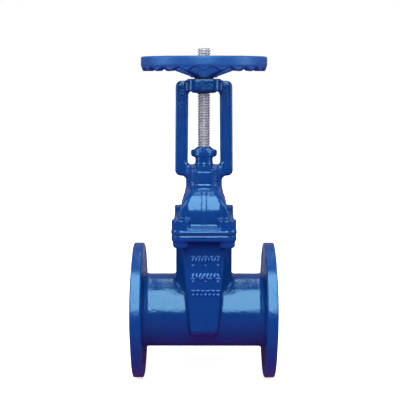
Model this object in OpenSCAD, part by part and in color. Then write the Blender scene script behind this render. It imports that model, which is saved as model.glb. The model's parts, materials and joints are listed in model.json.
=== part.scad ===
// Rising stem gate valve: outside screw and yoke, resilient-seated wedge, flanged DN 100, PN 16.
// The origin is the centre of the inlet flange's raised face. X runs along the pipe towards the
// outlet, Z runs up the stem, and heights are measured from the pipe's axis. The valve is closed.

/* [Pipe run] */
// Length between the two raised faces
face_to_face = 229; // [200:1:280]
// Diameter of the waterway
bore_d = 100; // [84:1:104]
// Thickness of the pipe run's wall
run_wall = 8; // [6:0.5:10]
// Outside diameter of the flanges
flange_d = 215; // [206:1:260]
// Thickness of a flange, raised face included
flange_t = 19; // [15:0.5:26]
// Diameter of the raised face
face_d = 156; // [130:1:158]
// Height of the raised face
face_h = 3; // [1:0.5:4]
// Diameter of the circle that the flange holes lie on
bolt_circle_d = 180; // [178:1:190]
// Number of holes in a flange
bolt_count = 8; // [4:4:12]
// Diameter of the flange holes
bolt_hole_d = 18; // [14:0.5:20]
// Radius of the fillet behind a flange
flange_fillet = 10; // [4:0.5:14]

/* [Gate housing] */
// Half the length of the neck, along the pipe
neck_half_x = 44; // [40:0.5:50]
// Radius of the neck's upright corners
neck_r = 13; // [6:1:18]
// Half the width of the wedge pocket, across the pipe
pocket_half_y = 75; // [72:0.5:76]
// Half the length of the pocket at the level of its foot
pocket_foot_half_x = 21.5; // [20:0.5:24]
// Height of the pocket's foot, where its front face ends
pocket_foot_z = -17; // [-20:1:-12]
// Drop of the pocket's underside on its way back to the run
pocket_under_drop = 12; // [8:1:16]
// How much the pocket's half length grows for each millimetre of height
pocket_slope = 0.086; // [0.06:0.002:0.1]
// Radius of the pocket's edges
pocket_edge_r = 4; // [2:0.5:6]
// Thickness of the housing's wall
housing_wall = 8; // [6:0.5:8]
// Fillet between the neck's sides and the run
neck_fillet = 7; // [3:0.5:10]

/* [Body joint] */
// Height of the body's top face, where the gasket lies
joint_z = 135; // [131:0.5:141]
// Thickness of the body's top flange
top_flange_t = 9; // [7:0.5:12]
// Half the length of both joint flanges, along the pipe
joint_half_x = 49; // [48:0.5:54]
// Half the width of both joint flanges, across the pipe
joint_half_y = 94; // [93:0.5:98]
// Corner radius of both joint flanges
joint_r = 14.5; // [10:0.5:18]
// Thickness of the gasket
gasket_t = 1.5; // [1:0.25:3]
// Distance from the valve's centre to the joint screws, along the pipe
screw_x = 34.5; // [34:0.5:36]
// Distance from the valve's centre to the joint screws, across the pipe
screw_y = 79.5; // [78:0.5:81]
// Nominal diameter of the joint screws
screw_d = 12; // [10:2:12]
// Radius of the bosses under the body's top flange
under_boss_r = 12.5; // [11:0.5:13]
// Depth of those bosses below the flange
under_boss_h = 11; // [8:1:18]

/* [Bonnet] */
// Thickness of the bonnet flange at its edge
bonnet_flange_t = 5.5; // [4:0.5:8]
// Rise of the bonnet flange's sloped top, from its edge to the foot of the dome
bonnet_slope_h = 5.5; // [3:0.5:8]
// Radius of the screw bosses on the bonnet
boss_r = 14.3; // [13:0.1:14.5]
// Height of the screw bosses above the joint
boss_h = 21.5; // [18:0.5:25]
// Radius of the sink over a screw's head
sink_r = 9.8; // [9.5:0.1:11]
// Depth of the sink over a screw's head
sink_h = 13; // [8:0.5:14]
// Radius of the tool recess cut into the dome over each boss
recess_r = 12.6; // [11:0.1:13]
// Half the length of the dome at its foot, along the pipe
dome_half_x = 38.5; // [37:0.5:40]
// Radius of the dome's long sides, seen from the front
dome_side_r = 93; // [85:1:110]
// Half the width of the dome at its foot, across the pipe
dome_half_y = 76; // [74:0.5:78]
// Radius of the dome's shoulders, seen from the end of the pipe
dome_front_r = 48; // [42:1:52]
// Height at which the shoulders start to curve
dome_spring_z = 154; // [150:1:158]
// Height of the dome's crown
dome_top_z = 199; // [198:1:201]
// Radius of the dome's upright edges
dome_edge_r = 5; // [3:0.5:8]
// Half the width of the ridge down the dome's front and back
ridge_half_x = 5; // [4:0.5:8]
// How far that ridge stands out
ridge_h = 1.2; // [0.5:0.1:2]
// Thickness of the dome's wall
dome_wall = 8; // [6:0.5:8]
// Thickness of the dome's roof
dome_roof = 11; // [8:0.5:11]

/* [Stuffing box] */
// Height of the joint between bonnet and yoke
yoke_joint_z = 208.5; // [208:0.5:213]
// Radius of the neck on both sides of that joint
collar_r = 28.5; // [26:0.5:30]
// Half the width of the ears that bolt yoke and bonnet together
ear_r = 13; // [11:0.5:14]
// Distance from the stem to the bolts in the ears
ear_y = 32; // [30:0.5:34]
// Height of the bonnet's ears below the joint
bonnet_ear_h = 15.5; // [10:0.5:16]
// Height of the yoke's ears above the joint
yoke_ear_h = 18.5; // [12:0.5:19]
// Nominal diameter of the ear bolts
ear_bolt_d = 10; // [8:2:10]
// Radius of the gland's neck
gland_r = 13.7; // [13:0.1:14]
// Height of the gland's packing, all rings together
packing_h = 14; // [8:0.5:15]
// Height of the underside of the gland's flange
gland_flange_z = 246; // [240:0.5:250]
// Thickness of the gland's flange
gland_flange_t = 9; // [6:0.5:10]
// Half the length of the gland's oval flange
gland_half_x = 20.5; // [18:0.5:22]
// Height of the cone on top of the gland
gland_cone_h = 8; // [4:0.5:10]

/* [Yoke] */
// Height of the window's sill
window_sill_z = 233; // [230:0.5:238]
// Height of the window's head
window_head_z = 348; // [336:0.5:356]
// Half the width of the window
window_half_x = 25.4; // [24:0.2:28]
// Width of an arm
arm_w = 20; // [14:0.5:22]
// How much nearer the stem the arms' outer faces are at the top
arm_draw = 1.5; // [0:0.5:3]
// Depth of the yoke's frame, from front to back
arm_depth = 22; // [18:1:26]
// Radius of the frame's long edges
arm_edge = 4.5; // [2:0.5:6]
// Thickness of the beams over and under the window
beam_t = 16.5; // [13:0.5:18]
// Radius in the window's corners
window_r = 4.5; // [2:0.5:6]
// Radius of the bearing boss at the yoke's head
head_r = 26; // [24:0.5:28]
// Height of the bearing boss above the head beam
head_rise = 3; // [2:0.2:6]

/* [Stem] */
// Diameter of the stem over its thread
stem_d = 20; // [16:0.5:20]
// How far the closed valve's stem stands out of its nut
stem_out = 18.5; // [15:0.5:40]
// Advance of the stem for each turn of its thread
thread_lead = 4; // [3:0.5:6]
// Clearance round the stem where it slides or turns
stem_clear = 0.3; // [0.2:0.05:0.5]

/* [Handwheel] */
// Outside diameter of the handwheel
wheel_d = 196; // [180:1:240]
// Height of the top of the rim above the hub
rim_rise = 14; // [11:0.5:20]
// Height of the rim, lobes included
rim_h = 21; // [18:0.5:25]
// Width of the rim, seen from above
rim_w = 15; // [10:0.5:18]
// Number of grip lobes under the rim
lobe_count = 22; // [12:1:28]
// Depth of the hollows between the lobes
lobe_depth = 4; // [2:0.5:5]
// Number of spokes
spoke_count = 5; // [3:1:6]
// Width of a spoke where it meets the hub
spoke_w = 13; // [9:0.5:14]
// How far a spoke's root hangs below the hub
spoke_drop = 9.5; // [6:0.5:9.5]
// Height of a spoke where it meets the rim
spoke_tip_h = 7; // [6.5:0.5:9]
// Distance from the top of the rim down to the spokes
spoke_tip_gap = 1; // [0.5:0.5:6]
// Radius of the wheel's hub
hub_r = 19; // [18:0.5:22]
// Gap between the yoke's head and the hub
hub_gap = 11.3; // [10.5:0.1:14]
// Height of the hub
hub_h = 9; // [7:0.5:10]

/* [Stem nut] */
// Radius of the nut's bearing in the yoke
nut_bearing_r = 15; // [14:0.5:16]
// Radius of the nut's thrust collar
nut_collar_r = 19.5; // [18:0.5:20]
// Thickness of the thrust collar
nut_collar_t = 6; // [4:0.5:8]
// Radius of the nut's upper end, which carries the wheel
nut_neck_r = 13; // [12.8:0.1:13.5]
// How far the nut stands out under the yoke's head
nut_drop = 2.5; // [1:0.5:4]
// Thickness of the ring that holds the nut down
retainer_t = 5; // [4:0.5:6]
// Size of the locknut over its flats
locknut_af = 36; // [32:1:40]
// Height of the locknut
locknut_h = 7; // [5:0.5:7]
// Thickness of the washer under the locknut
washer_t = 2; // [1:0.5:2.5]
// Clearance between turning pieces
turn_clear = 0.1; // [0.05:0.05:0.3]

/* [Wedge] */
// Gap between the wedge and its seats when closed
seat_gap = 0.4; // [0.3:0.1:1]
// Gap between the guide shoes and the ends of the pocket
guide_gap = 1; // [0.5:0.1:2]
// Half the width of the wedge without its shoes
wedge_half_y = 58; // [54:0.5:58]
// Height of the wedge's shoulders, over its guides
shoulder_z = 25; // [18:1:30]
// Radius of the wedge's upper edge
wedge_r = 54; // [53:0.5:56]
// Half the width of the head that holds the stem's nut
head_block_y = 21; // [20:0.5:23]
// Half the length of the head that holds the stem's nut
head_block_x = 14.5; // [14:0.5:15]
// Height of the top of that head
head_block_z = 80; // [77:0.5:80]
// Height of the brass wedge nut
wedge_nut_h = 13; // [10:0.5:14]
// How far the stem lifts the wedge
lift = 102; // [100:1:102]

/* [Hidden] */
$fn = 96;
hull_fn = 32;
paint = "royalblue";
steel = "silver";
brass = "darkgoldenrod";
rubber = "dimgray";
eps = 0.01;
over = 1;

stem_x = face_to_face / 2;
run_r = bore_d / 2 + run_wall;
neck_half_y = run_r - 1;
top_flange_z = joint_z - top_flange_t;
seal_r = bore_d / 2 - seat_gap;
ear_foot_z = pocket_foot_z + 1.1 * housing_wall + 5;
bonnet_z = joint_z + gasket_t;
slope_z = bonnet_z + bonnet_flange_t;
dome_foot_z = slope_z + bonnet_slope_h;
boss_top_z = bonnet_z + boss_h;
tap_r = 0.43 * screw_d;
screw_clear_r = screw_d / 2 + 0.75;
ear_tap_r = 0.43 * ear_bolt_d;
ear_clear_r = ear_bolt_d / 2 + 0.5;
ear_taper = 3;
box_r = gland_r + 0.5;
box_floor_z = yoke_joint_z - 15;
packing_z = box_floor_z + 0.3;
gland_nose_z = packing_z + packing_h + 0.3;
stem_r = stem_d / 2;
stem_hole_r = stem_r + stem_clear;
arm_x = window_half_x + arm_w / 2;
beam_r = beam_t / 2;
sill_axis_z = window_sill_z - beam_r;
head_axis_z = window_head_z + beam_r;
head_top_z = window_head_z + beam_t + head_rise;
nut_foot_z = window_head_z - nut_drop;
retainer_z = head_top_z - retainer_t;
collar_top_z = retainer_z - 0.3;
collar_z = collar_top_z - nut_collar_t;
hub_z = head_top_z + hub_gap;
hub_top_z = hub_z + hub_h;
washer_z = hub_top_z;
locknut_z = washer_z + washer_t;
nut_top_z = locknut_z + locknut_h - 1;
stem_top_z = nut_top_z + stem_out;
rim_r = wheel_d / 2;
rim_top_z = hub_top_z + rim_rise;
rim_bottom_z = rim_top_z - rim_h;
wedge_nut_z = head_block_z - 8 - wedge_nut_h - 0.5;

// Points of an arc round c, from angle a0 to a1
function arc(c, r, a0, a1, n = 6) =
    [for (i = [0:n]) let (a = a0 + (a1 - a0) * i / n) [c[0] + r * cos(a), c[1] + r * sin(a)]];

// Outline of a rectangle with round corners, given by its half sizes
function round_rect(hx, hy, r, n = 5) = concat(
    arc([hx - r, hy - r], r, 0, 90, n), arc([r - hx, hy - r], r, 90, 180, n),
    arc([r - hx, r - hy], r, 180, 270, n), arc([hx - r, r - hy], r, 270, 360, n));

// Half length of the pocket at height z
function pocket_half_x(z) = pocket_foot_half_x + (z - pocket_foot_z) * pocket_slope;

// Half length of the dome at height z
function dome_x(z) =
    dome_half_x - dome_side_r + sqrt(pow(dome_side_r, 2) - pow(max(0, z - dome_foot_z), 2));

// Half width of the dome at height z
function dome_y(z) =
    dome_half_y - dome_front_r + sqrt(pow(dome_front_r, 2) - pow(max(0, z - dome_spring_z), 2));

module at_stem() {
    translate([stem_x, 0, 0]) children();
}

// A thin slab at height z, used as one section of a loft
module section(hx, hy, r, z) {
    translate([0, 0, z]) linear_extrude(eps) polygon(round_rect(hx, hy, r));
}

// A flat plate between two heights with its lower or upper edge broken
module plate(hx, hy, r, z0, z1, low = 0, high = 0) {
    hull() {
        section(hx - low, hy - low, r - low, z0);
        section(hx, hy, r, z0 + low);
        section(hx, hy, r, z1 - high - eps);
        section(hx - high, hy - high, r - high, z1 - eps);
    }
}

// The four joint screws' places
module at_screws() {
    for (sx = [-1, 1], sy = [-1, 1])
        translate([sx * screw_x, sy * screw_y, 0]) children();
}

// The front and back places of the ear bolts
module at_ears() {
    for (sy = [-1, 1])
        translate([0, sy * ear_y, 0]) children();
}

// ---- Body -------------------------------------------------------------------------------------

// The pipe run with both flanges, turned about the pipe's axis
module run_blank() {
    break_ = 1.5;
    side = concat(
        [[face_d / 2, 0], [face_d / 2, face_h], [flange_d / 2 - break_, face_h],
         [flange_d / 2, face_h + break_], [flange_d / 2, flange_t - break_],
         [flange_d / 2 - break_, flange_t]],
        arc([run_r + flange_fillet, flange_t + flange_fillet], flange_fillet, 270, 180));
    other = [for (i = [len(side) - 1:-1:0]) [side[i][0], face_to_face - side[i][1]]];
    rotate([0, 90, 0]) rotate_extrude()
        polygon(concat([[0, 0]], side, other, [[0, face_to_face]]));
}

// The pocket that the wedge slides in, inset by a wall. Its underside slopes back into the run.
module pocket(inset) {
    lift_ = inset * 1.1;
    top_z = inset > 0 ? joint_z + over : top_flange_z + over;
    edge = max(0.5, pocket_edge_r - inset);
    corner = 6;
    under = [[0, 0], [corner * 0.3, corner * 0.7], [corner, corner],
        [pocket_half_y - run_r + 14, corner + pocket_under_drop]];
    hull() {
        section(pocket_half_x(top_z) - inset, pocket_half_y - inset, edge, top_z);
        for (p = under) {
            z = pocket_foot_z - p[1] + lift_;
            section(pocket_half_x(z) - inset, pocket_half_y - inset - p[0], edge, z);
        }
    }
}

// The ring of the fillet where a side of the neck rises from the run
module neck_fillets() {
    corner = [run_r + neck_fillet, neck_half_x + neck_fillet];
    profile = concat([[run_r - 2, neck_half_x - 2], [corner[0], neck_half_x - 2]],
        arc(corner, neck_fillet, 270, 180), [[run_r - 2, corner[1]]]);
    intersection() {
        for (s = [-1, 1])
            rotate([0, s * 90, 0]) rotate_extrude() polygon(profile);
        translate([-face_to_face / 2, -neck_half_y + neck_r, 0])
            cube([face_to_face, 2 * (neck_half_y - neck_r), 2 * run_r]);
    }
}

module body_casting() {
    color(paint) difference() {
        union() {
            run_blank();
            at_stem() {
                linear_extrude(top_flange_z + over)
                    polygon(round_rect(neck_half_x, neck_half_y, neck_r));
                pocket(0);
                neck_fillets();
                plate(joint_half_x, joint_half_y, joint_r, top_flange_z, joint_z, low = 2.5);
                at_screws() {
                    translate([0, 0, top_flange_z - under_boss_h * 0.55])
                        cylinder(h = under_boss_h * 0.55 + over, r = under_boss_r);
                    translate([0, 0, top_flange_z - under_boss_h])
                        cylinder(h = under_boss_h * 0.45 + eps,
                            r1 = under_boss_r - 5, r2 = under_boss_r);
                }
            }
        }
        translate([-over, 0, 0]) rotate([0, 90, 0]) cylinder(h = face_to_face + 2 * over, d = bore_d);
        for (x = [-over, face_to_face - flange_t - over], i = [0:bolt_count - 1])
            rotate([(i + 0.5) * 360 / bolt_count, 0, 0]) translate([x, 0, bolt_circle_d / 2])
                rotate([0, 90, 0]) cylinder(h = flange_t + 2 * over, d = bolt_hole_d, $fn = 48);
        at_stem() {
            pocket(housing_wall);
            translate([0, 0, run_r]) linear_extrude(joint_z - run_r + over)
                polygon(round_rect(neck_half_x - housing_wall, neck_half_y - housing_wall,
                    neck_r - housing_wall + 2));
            at_screws() translate([0, 0, top_flange_z - under_boss_h + 3])
                cylinder(h = joint_z, r = tap_r, $fn = 48);
        }
    }
}

module bonnet_gasket() {
    edge = 1;
    color(rubber) at_stem() translate([0, 0, joint_z]) difference() {
        linear_extrude(gasket_t)
            polygon(round_rect(joint_half_x - edge, joint_half_y - edge, joint_r - edge));
        translate([0, 0, -over]) linear_extrude(gasket_t + 2 * over)
            polygon(round_rect(pocket_half_x(joint_z) - housing_wall, dome_half_y - dome_wall + 2, 6));
        at_screws() translate([0, 0, -over])
            cylinder(h = gasket_t + 2 * over, r = screw_clear_r, $fn = 48);
    }
}

// ---- Bonnet -----------------------------------------------------------------------------------

// The dome as a loft of its sections, inset by a wall
module dome(inset, z0, z1) {
    steps = 8;
    hull() for (i = [0:steps]) {
        z = z0 + (z1 - z0) * i / steps;
        section(dome_x(z + inset) - inset, dome_y(z + inset) - inset,
            max(1.5, dome_edge_r - inset / 2), z);
    }
}

// The low ridge down the middle of the dome's front and back
module ridge() {
    steps = 6;
    hull() for (i = [0:steps]) {
        z = slope_z + (dome_top_z - slope_z) * i / steps;
        section(ridge_half_x, dome_y(z) + ridge_h, 3, z);
    }
}

// The ears for one bolt at the front and one at the back, over a tapered foot
module ears(z0, z1, foot) {
    at_ears() rotate_extrude() polygon(concat(
        [[0, z0], [ear_r - foot, z0]],
        foot > 0 ? [[ear_r, z0 + foot]] : [],
        [[ear_r, z1], [0, z1]]
    ));
    translate([-ear_r, -ear_y, z0 + foot]) cube([2 * ear_r, 2 * ear_y, z1 - z0 - foot]);
}

module bonnet() {
    color(paint) at_stem() difference() {
        union() {
            plate(joint_half_x, joint_half_y, joint_r, bonnet_z, slope_z, high = 1);
            hull() {
                section(joint_half_x - 1, joint_half_y - 1, joint_r - 1, slope_z - eps);
                section(dome_half_x + 1.5, dome_half_y + 2, dome_edge_r + 2, dome_foot_z);
            }
            dome(0, slope_z, dome_top_z);
            ridge();
            at_screws() translate([0, 0, bonnet_z]) cylinder(h = boss_h, r = boss_r);
            translate([0, 0, dome_foot_z + 20])
                cylinder(h = yoke_joint_z - dome_foot_z - 20, r = collar_r);
            ears(yoke_joint_z - bonnet_ear_h, yoke_joint_z, ear_taper);
        }
        dome(dome_wall, bonnet_z - over, dome_top_z - dome_roof);
        at_screws() {
            translate([0, 0, bonnet_z - over]) cylinder(h = boss_h, r = screw_clear_r, $fn = 48);
            translate([0, 0, boss_top_z - sink_h]) cylinder(h = sink_h + over, r = sink_r, $fn = 48);
            translate([0, 0, boss_top_z]) cylinder(h = dome_top_z, r = recess_r);
        }
        translate([0, 0, bonnet_z]) cylinder(h = yoke_joint_z, r = stem_r + 1);
        translate([0, 0, box_floor_z]) cylinder(h = yoke_joint_z, r = box_r);
        at_ears() translate([0, 0, yoke_joint_z - bonnet_ear_h + 2])
            cylinder(h = bonnet_ear_h, r = ear_tap_r, $fn = 48);
    }
}

// ---- Yoke -------------------------------------------------------------------------------------

// A short bar across the frame with broken edges, the corner of its members
module knuckle(x, z, r) {
    half = arm_depth / 2;
    translate([x, 0, z]) rotate([90, 0, 0]) rotate_extrude($fn = hull_fn)
        polygon([[0, -half], [r - arm_edge, -half], [r - arm_edge * 0.3, -half + arm_edge * 0.3],
            [r, -half + arm_edge], [r, half - arm_edge], [r - arm_edge * 0.3, half - arm_edge * 0.3],
            [r - arm_edge, half], [0, half]]);
}

// The rounding in one corner of the window
module window_corner() {
    depth = arm_depth - 2 * arm_edge;
    rotate([90, 0, 0]) translate([0, 0, -depth / 2]) linear_extrude(depth)
        polygon(concat([[-over, -over], [window_r, -over]],
            arc([window_r, window_r], window_r, 270, 180), [[-over, window_r]]));
}

module yoke_frame() {
    arm_r = arm_w / 2;
    foot_z = sill_axis_z - beam_r + arm_r;
    top_z = head_axis_z + beam_r - arm_r;
    for (s = [-1, 1])
        hull() {
            knuckle(s * arm_x, foot_z, arm_r);
            knuckle(s * (arm_x - arm_draw), top_z, arm_r);
        }
    for (z = [sill_axis_z, head_axis_z])
        hull() {
            knuckle(-arm_x + arm_draw, z, beam_r);
            knuckle(arm_x - arm_draw, z, beam_r);
        }
    for (s = [-1, 1]) {
        translate([s * window_half_x, 0, window_sill_z]) mirror([s > 0 ? 1 : 0, 0, 0]) window_corner();
        translate([s * (window_half_x - arm_draw), 0, window_head_z])
            mirror([s > 0 ? 1 : 0, 0, 0]) mirror([0, 0, 1]) window_corner();
    }
}

module yoke() {
    color(paint) at_stem() difference() {
        union() {
            yoke_frame();
            translate([0, 0, yoke_joint_z]) cylinder(h = window_sill_z - yoke_joint_z, r = collar_r);
            ears(yoke_joint_z, yoke_joint_z + yoke_ear_h, 0);
            translate([0, 0, window_head_z]) cylinder(h = head_top_z - window_head_z, r = head_r);
            translate([0, 0, head_top_z - head_rise - 6])
                cylinder(h = 6 + head_rise - 1, r1 = head_r + 8, r2 = head_r);
        }
        translate([0, 0, yoke_joint_z - over])
            cylinder(h = window_sill_z - yoke_joint_z + 2 * over, r = box_r);
        at_ears() translate([0, 0, yoke_joint_z - over])
            cylinder(h = yoke_ear_h + 3 * over, r = ear_clear_r, $fn = 48);
        translate([0, 0, window_head_z - over])
            cylinder(h = head_top_z - window_head_z + 2 * over, r = nut_bearing_r + turn_clear);
        translate([0, 0, collar_z - 0.3]) cylinder(h = head_top_z, r = nut_collar_r + 0.5);
        translate([0, -head_r - over, collar_z - 4]) rotate([-90, 0, 0])
            cylinder(h = head_r, r = 3, $fn = 48);
    }
}

// ---- Stuffing box -----------------------------------------------------------------------------

module gland_follower() {
    flange_top_z = gland_flange_z + gland_flange_t;
    ear = 6;
    color(paint) at_stem() difference() {
        union() {
            translate([0, 0, gland_nose_z])
                cylinder(h = gland_flange_z - gland_nose_z + over, r = gland_r);
            hull() for (x = [-1, 0, 1]) {
                r = x == 0 ? gland_r + 2 : ear;
                translate([x * (gland_half_x - ear), 0, gland_flange_z + 2])
                    cylinder(h = gland_flange_t - 4, r = r, $fn = hull_fn);
                translate([x * (gland_half_x - ear), 0, gland_flange_z])
                    cylinder(h = gland_flange_t, r = r - 2, $fn = hull_fn);
            }
            translate([0, 0, flange_top_z - eps])
                cylinder(h = gland_cone_h, r1 = gland_r, r2 = stem_hole_r + 2);
        }
        translate([0, 0, gland_nose_z - over])
            cylinder(h = flange_top_z + gland_cone_h - gland_nose_z + 2 * over, r = stem_hole_r);
    }
}

module gland_packing() {
    color(rubber) at_stem() translate([0, 0, packing_z]) difference() {
        cylinder(h = packing_h, r = box_r - 0.2);
        translate([0, 0, -over]) cylinder(h = packing_h + 2 * over, r = stem_hole_r);
    }
}

module grease_nipple() {
    z = collar_z - 4;
    color(steel) at_stem() translate([0, -head_r, z]) rotate([90, 0, 0]) {
        translate([0, 0, -4]) cylinder(h = 4, r = 2.9, $fn = 48);
        cylinder(h = 3, r = 4, $fn = 6);
        translate([0, 0, 3 - eps]) cylinder(h = 2, r1 = 2.2, r2 = 1.6, $fn = 48);
        translate([0, 0, 5.6]) sphere(r = 2, $fn = 48);
    }
}

// ---- Stem and wedge ---------------------------------------------------------------------------

module stem() {
    tip = 1.5;
    color(steel) at_stem() {
        translate([0, 0, wedge_nut_z]) cylinder(h = stem_top_z - wedge_nut_z - tip, r = stem_r);
        translate([0, 0, stem_top_z - tip]) cylinder(h = tip, r1 = stem_r, r2 = stem_r - tip);
    }
}

// The wedge's outline seen along the pipe: x is across the pipe, y is up
function wedge_outline() = let (
    foot = asin(ear_foot_z / seal_r),
    shoulder = asin(shoulder_z / wedge_r),
    neck = asin(head_block_y / wedge_r)
) concat(
    [[-wedge_half_y, ear_foot_z]],
    arc([0, 0], seal_r, 180 - foot, 360 + foot, 24),
    [[wedge_half_y, ear_foot_z], [wedge_half_y, shoulder_z]],
    arc([0, 0], wedge_r, shoulder, 90 - neck, 8),
    [[head_block_y, head_block_z], [-head_block_y, head_block_z]],
    arc([0, 0], wedge_r, 90 + neck, 180 - shoulder, 8), [[-wedge_half_y, shoulder_z]]);

// Everything between the wedge's two sloped faces
module between_seats(z0, z1) {
    gap = housing_wall + seat_gap;
    rotate([90, 0, 0]) translate([0, 0, -pocket_half_y]) linear_extrude(2 * pocket_half_y)
        polygon([[-pocket_half_x(z0) + gap, z0], [pocket_half_x(z0) - gap, z0],
            [pocket_half_x(z1) - gap, z1], [-pocket_half_x(z1) + gap, z1]]);
}

module gate_wedge() {
    slot = 0.5;
    color(rubber) at_stem() difference() {
        intersection() {
            rotate([90, 0, 90]) translate([0, 0, -neck_half_x]) linear_extrude(2 * neck_half_x)
                polygon(wedge_outline());
            between_seats(-seal_r - over, head_block_z + over);
            union() {
                translate([-neck_half_x, -wedge_half_y - over, -bore_d])
                    cube([2 * neck_half_x, 2 * (wedge_half_y + over), bore_d + wedge_r - 2]);
                translate([-head_block_x, -head_block_y - over, 0])
                    cube([2 * head_block_x, 2 * (head_block_y + over), head_block_z + over]);
            }
        }
        translate([-neck_half_x, -14.5 - slot, wedge_nut_z - slot])
            cube([2 * neck_half_x, 2 * (14.5 + slot), wedge_nut_h + 2 * slot]);
        translate([-neck_half_x, -stem_r - 1, wedge_nut_z])
            cube([2 * neck_half_x, 2 * (stem_r + 1), head_block_z]);
    }
}

module wedge_nut() {
    half = head_block_x - 1;
    color(brass) at_stem() translate([0, 0, wedge_nut_z]) difference() {
        translate([-half, -14.5, 0]) cube([2 * half, 29, wedge_nut_h]);
        translate([0, 0, -over]) cylinder(h = wedge_nut_h + 2 * over, r = stem_r + 0.05);
    }
}

// The plastic shoes on the wedge's ears, which run on the ends of the pocket
module guide_shoes() {
    y0 = wedge_half_y;
    y1 = pocket_half_y - housing_wall - guide_gap;
    z0 = ear_foot_z;
    color("black") at_stem() for (s = [-1, 1]) intersection() {
        translate([-neck_half_x, s > 0 ? y0 : -y1, z0])
            cube([2 * neck_half_x, y1 - y0, shoulder_z - z0]);
        between_seats(z0 - over, shoulder_z + over);
    }
}

// ---- Handwheel --------------------------------------------------------------------------------

module stem_nut() {
    color(brass) at_stem() difference() {
        union() {
            translate([0, 0, nut_foot_z]) cylinder(h = collar_z - nut_foot_z + eps, r = nut_bearing_r);
            translate([0, 0, collar_z]) cylinder(h = nut_collar_t, r = nut_collar_r);
            translate([0, 0, collar_top_z - eps])
                cylinder(h = hub_z - collar_top_z + eps, r = nut_neck_r + 2);
            translate([0, 0, hub_z - eps]) cylinder(h = hub_h + eps, r = nut_neck_r);
            translate([0, 0, hub_top_z - eps]) cylinder(h = nut_top_z - hub_top_z, r = nut_neck_r - 1);
        }
        translate([0, 0, nut_foot_z - over])
            cylinder(h = nut_top_z - nut_foot_z + 2 * over, r = stem_hole_r);
    }
}

module nut_retainer() {
    color(brass) at_stem() translate([0, 0, retainer_z]) difference() {
        cylinder(h = retainer_t, r = nut_collar_r + 0.4);
        translate([0, 0, -over]) cylinder(h = retainer_t + 2 * over, r = nut_neck_r + 2.5);
    }
}

// The rim's section: rounded on top, with a flat underside that the lobes are cut into
function rim_section() = let (r = 3.5, r0 = rim_r - rim_w, z0 = rim_bottom_z, z1 = rim_top_z) concat(
    arc([rim_r - r, z1 - r], r, 0, 90, 4), arc([r0 + r, z1 - r], r, 90, 180, 4),
    arc([r0 + r, z0 + r], r, 180, 270, 4), arc([rim_r - 1.5, z0 + 1.5], 1.5, 270, 360, 3));

// One spoke, from low on the hub to high inside the rim
module spoke() {
    root_z = [hub_z - spoke_drop, hub_top_z - 3];
    tip_z = rim_top_z - spoke_tip_gap - spoke_tip_h / 2;
    ends = [[hub_r - 3, (root_z[0] + root_z[1]) / 2, (root_z[1] - root_z[0]) / 2, spoke_w / 2],
        [rim_r - rim_w + 4, tip_z, spoke_tip_h / 2, spoke_w * 0.36]];
    hull() for (s = ends)
        translate([s[0], 0, s[1]]) rotate([0, -90, 0]) linear_extrude(eps)
            polygon(round_rect(s[2], s[3], 3, 3));
}

module handwheel() {
    hollow_half = 0.38 * 2 * PI * rim_r / lobe_count;
    hollow_r = (pow(hollow_half, 2) + pow(lobe_depth, 2)) / (2 * lobe_depth);
    color(paint) at_stem() difference() {
        union() {
            rotate_extrude() polygon(rim_section());
            for (i = [0:spoke_count - 1])
                rotate([0, 0, 90 + i * 360 / spoke_count]) spoke();
            translate([0, 0, hub_z]) cylinder(h = hub_h, r = hub_r);
        }
        for (i = [0:lobe_count - 1])
            rotate([0, 0, 270 + (i + 0.5) * 360 / lobe_count])
                translate([rim_r - rim_w - 2, 0, rim_bottom_z + lobe_depth - hollow_r])
                rotate([0, 90, 0]) cylinder(h = rim_w + 4, r = hollow_r, $fn = 48);
        translate([0, 0, hub_z - spoke_drop - over])
            cylinder(h = spoke_drop + over, r = nut_neck_r + 2.3);
        translate([0, 0, hub_z - over]) cylinder(h = hub_h + 2 * over, r = nut_neck_r + 0.05);
    }
}

module wheel_washer() {
    color(steel) at_stem() translate([0, 0, washer_z]) difference() {
        cylinder(h = washer_t, r = hub_r - 1);
        translate([0, 0, -over]) cylinder(h = washer_t + 2 * over, r = nut_neck_r - 0.9);
    }
}

module wheel_locknut() {
    color(steel) at_stem() translate([0, 0, locknut_z]) difference() {
        cylinder(h = locknut_h, r = locknut_af / 2 / cos(30), $fn = 6);
        translate([0, 0, -over]) cylinder(h = locknut_h + 2 * over, r = nut_neck_r - 0.95);
    }
}

body_casting();
bonnet_gasket();
bonnet();
yoke();
gland_follower();
gland_packing();
grease_nipple();
nut_retainer();
stem();
gate_wedge();
guide_shoes();
wedge_nut();
stem_nut();
handwheel();
wheel_washer();
wheel_locknut();
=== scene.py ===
"""Looks of a flanged rising stem gate valve: cast and coated bodies, threads, screws and studio.

The packed model is the frame, so every place below comes from it. Castings are worked out as
distance fields in millimetres about the stem's axis, with the pipe's axis at height zero.
"""

import json
import math

import bmesh
import bpy
import numpy as np
import openvdb
from mathutils import Matrix, Vector


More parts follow.
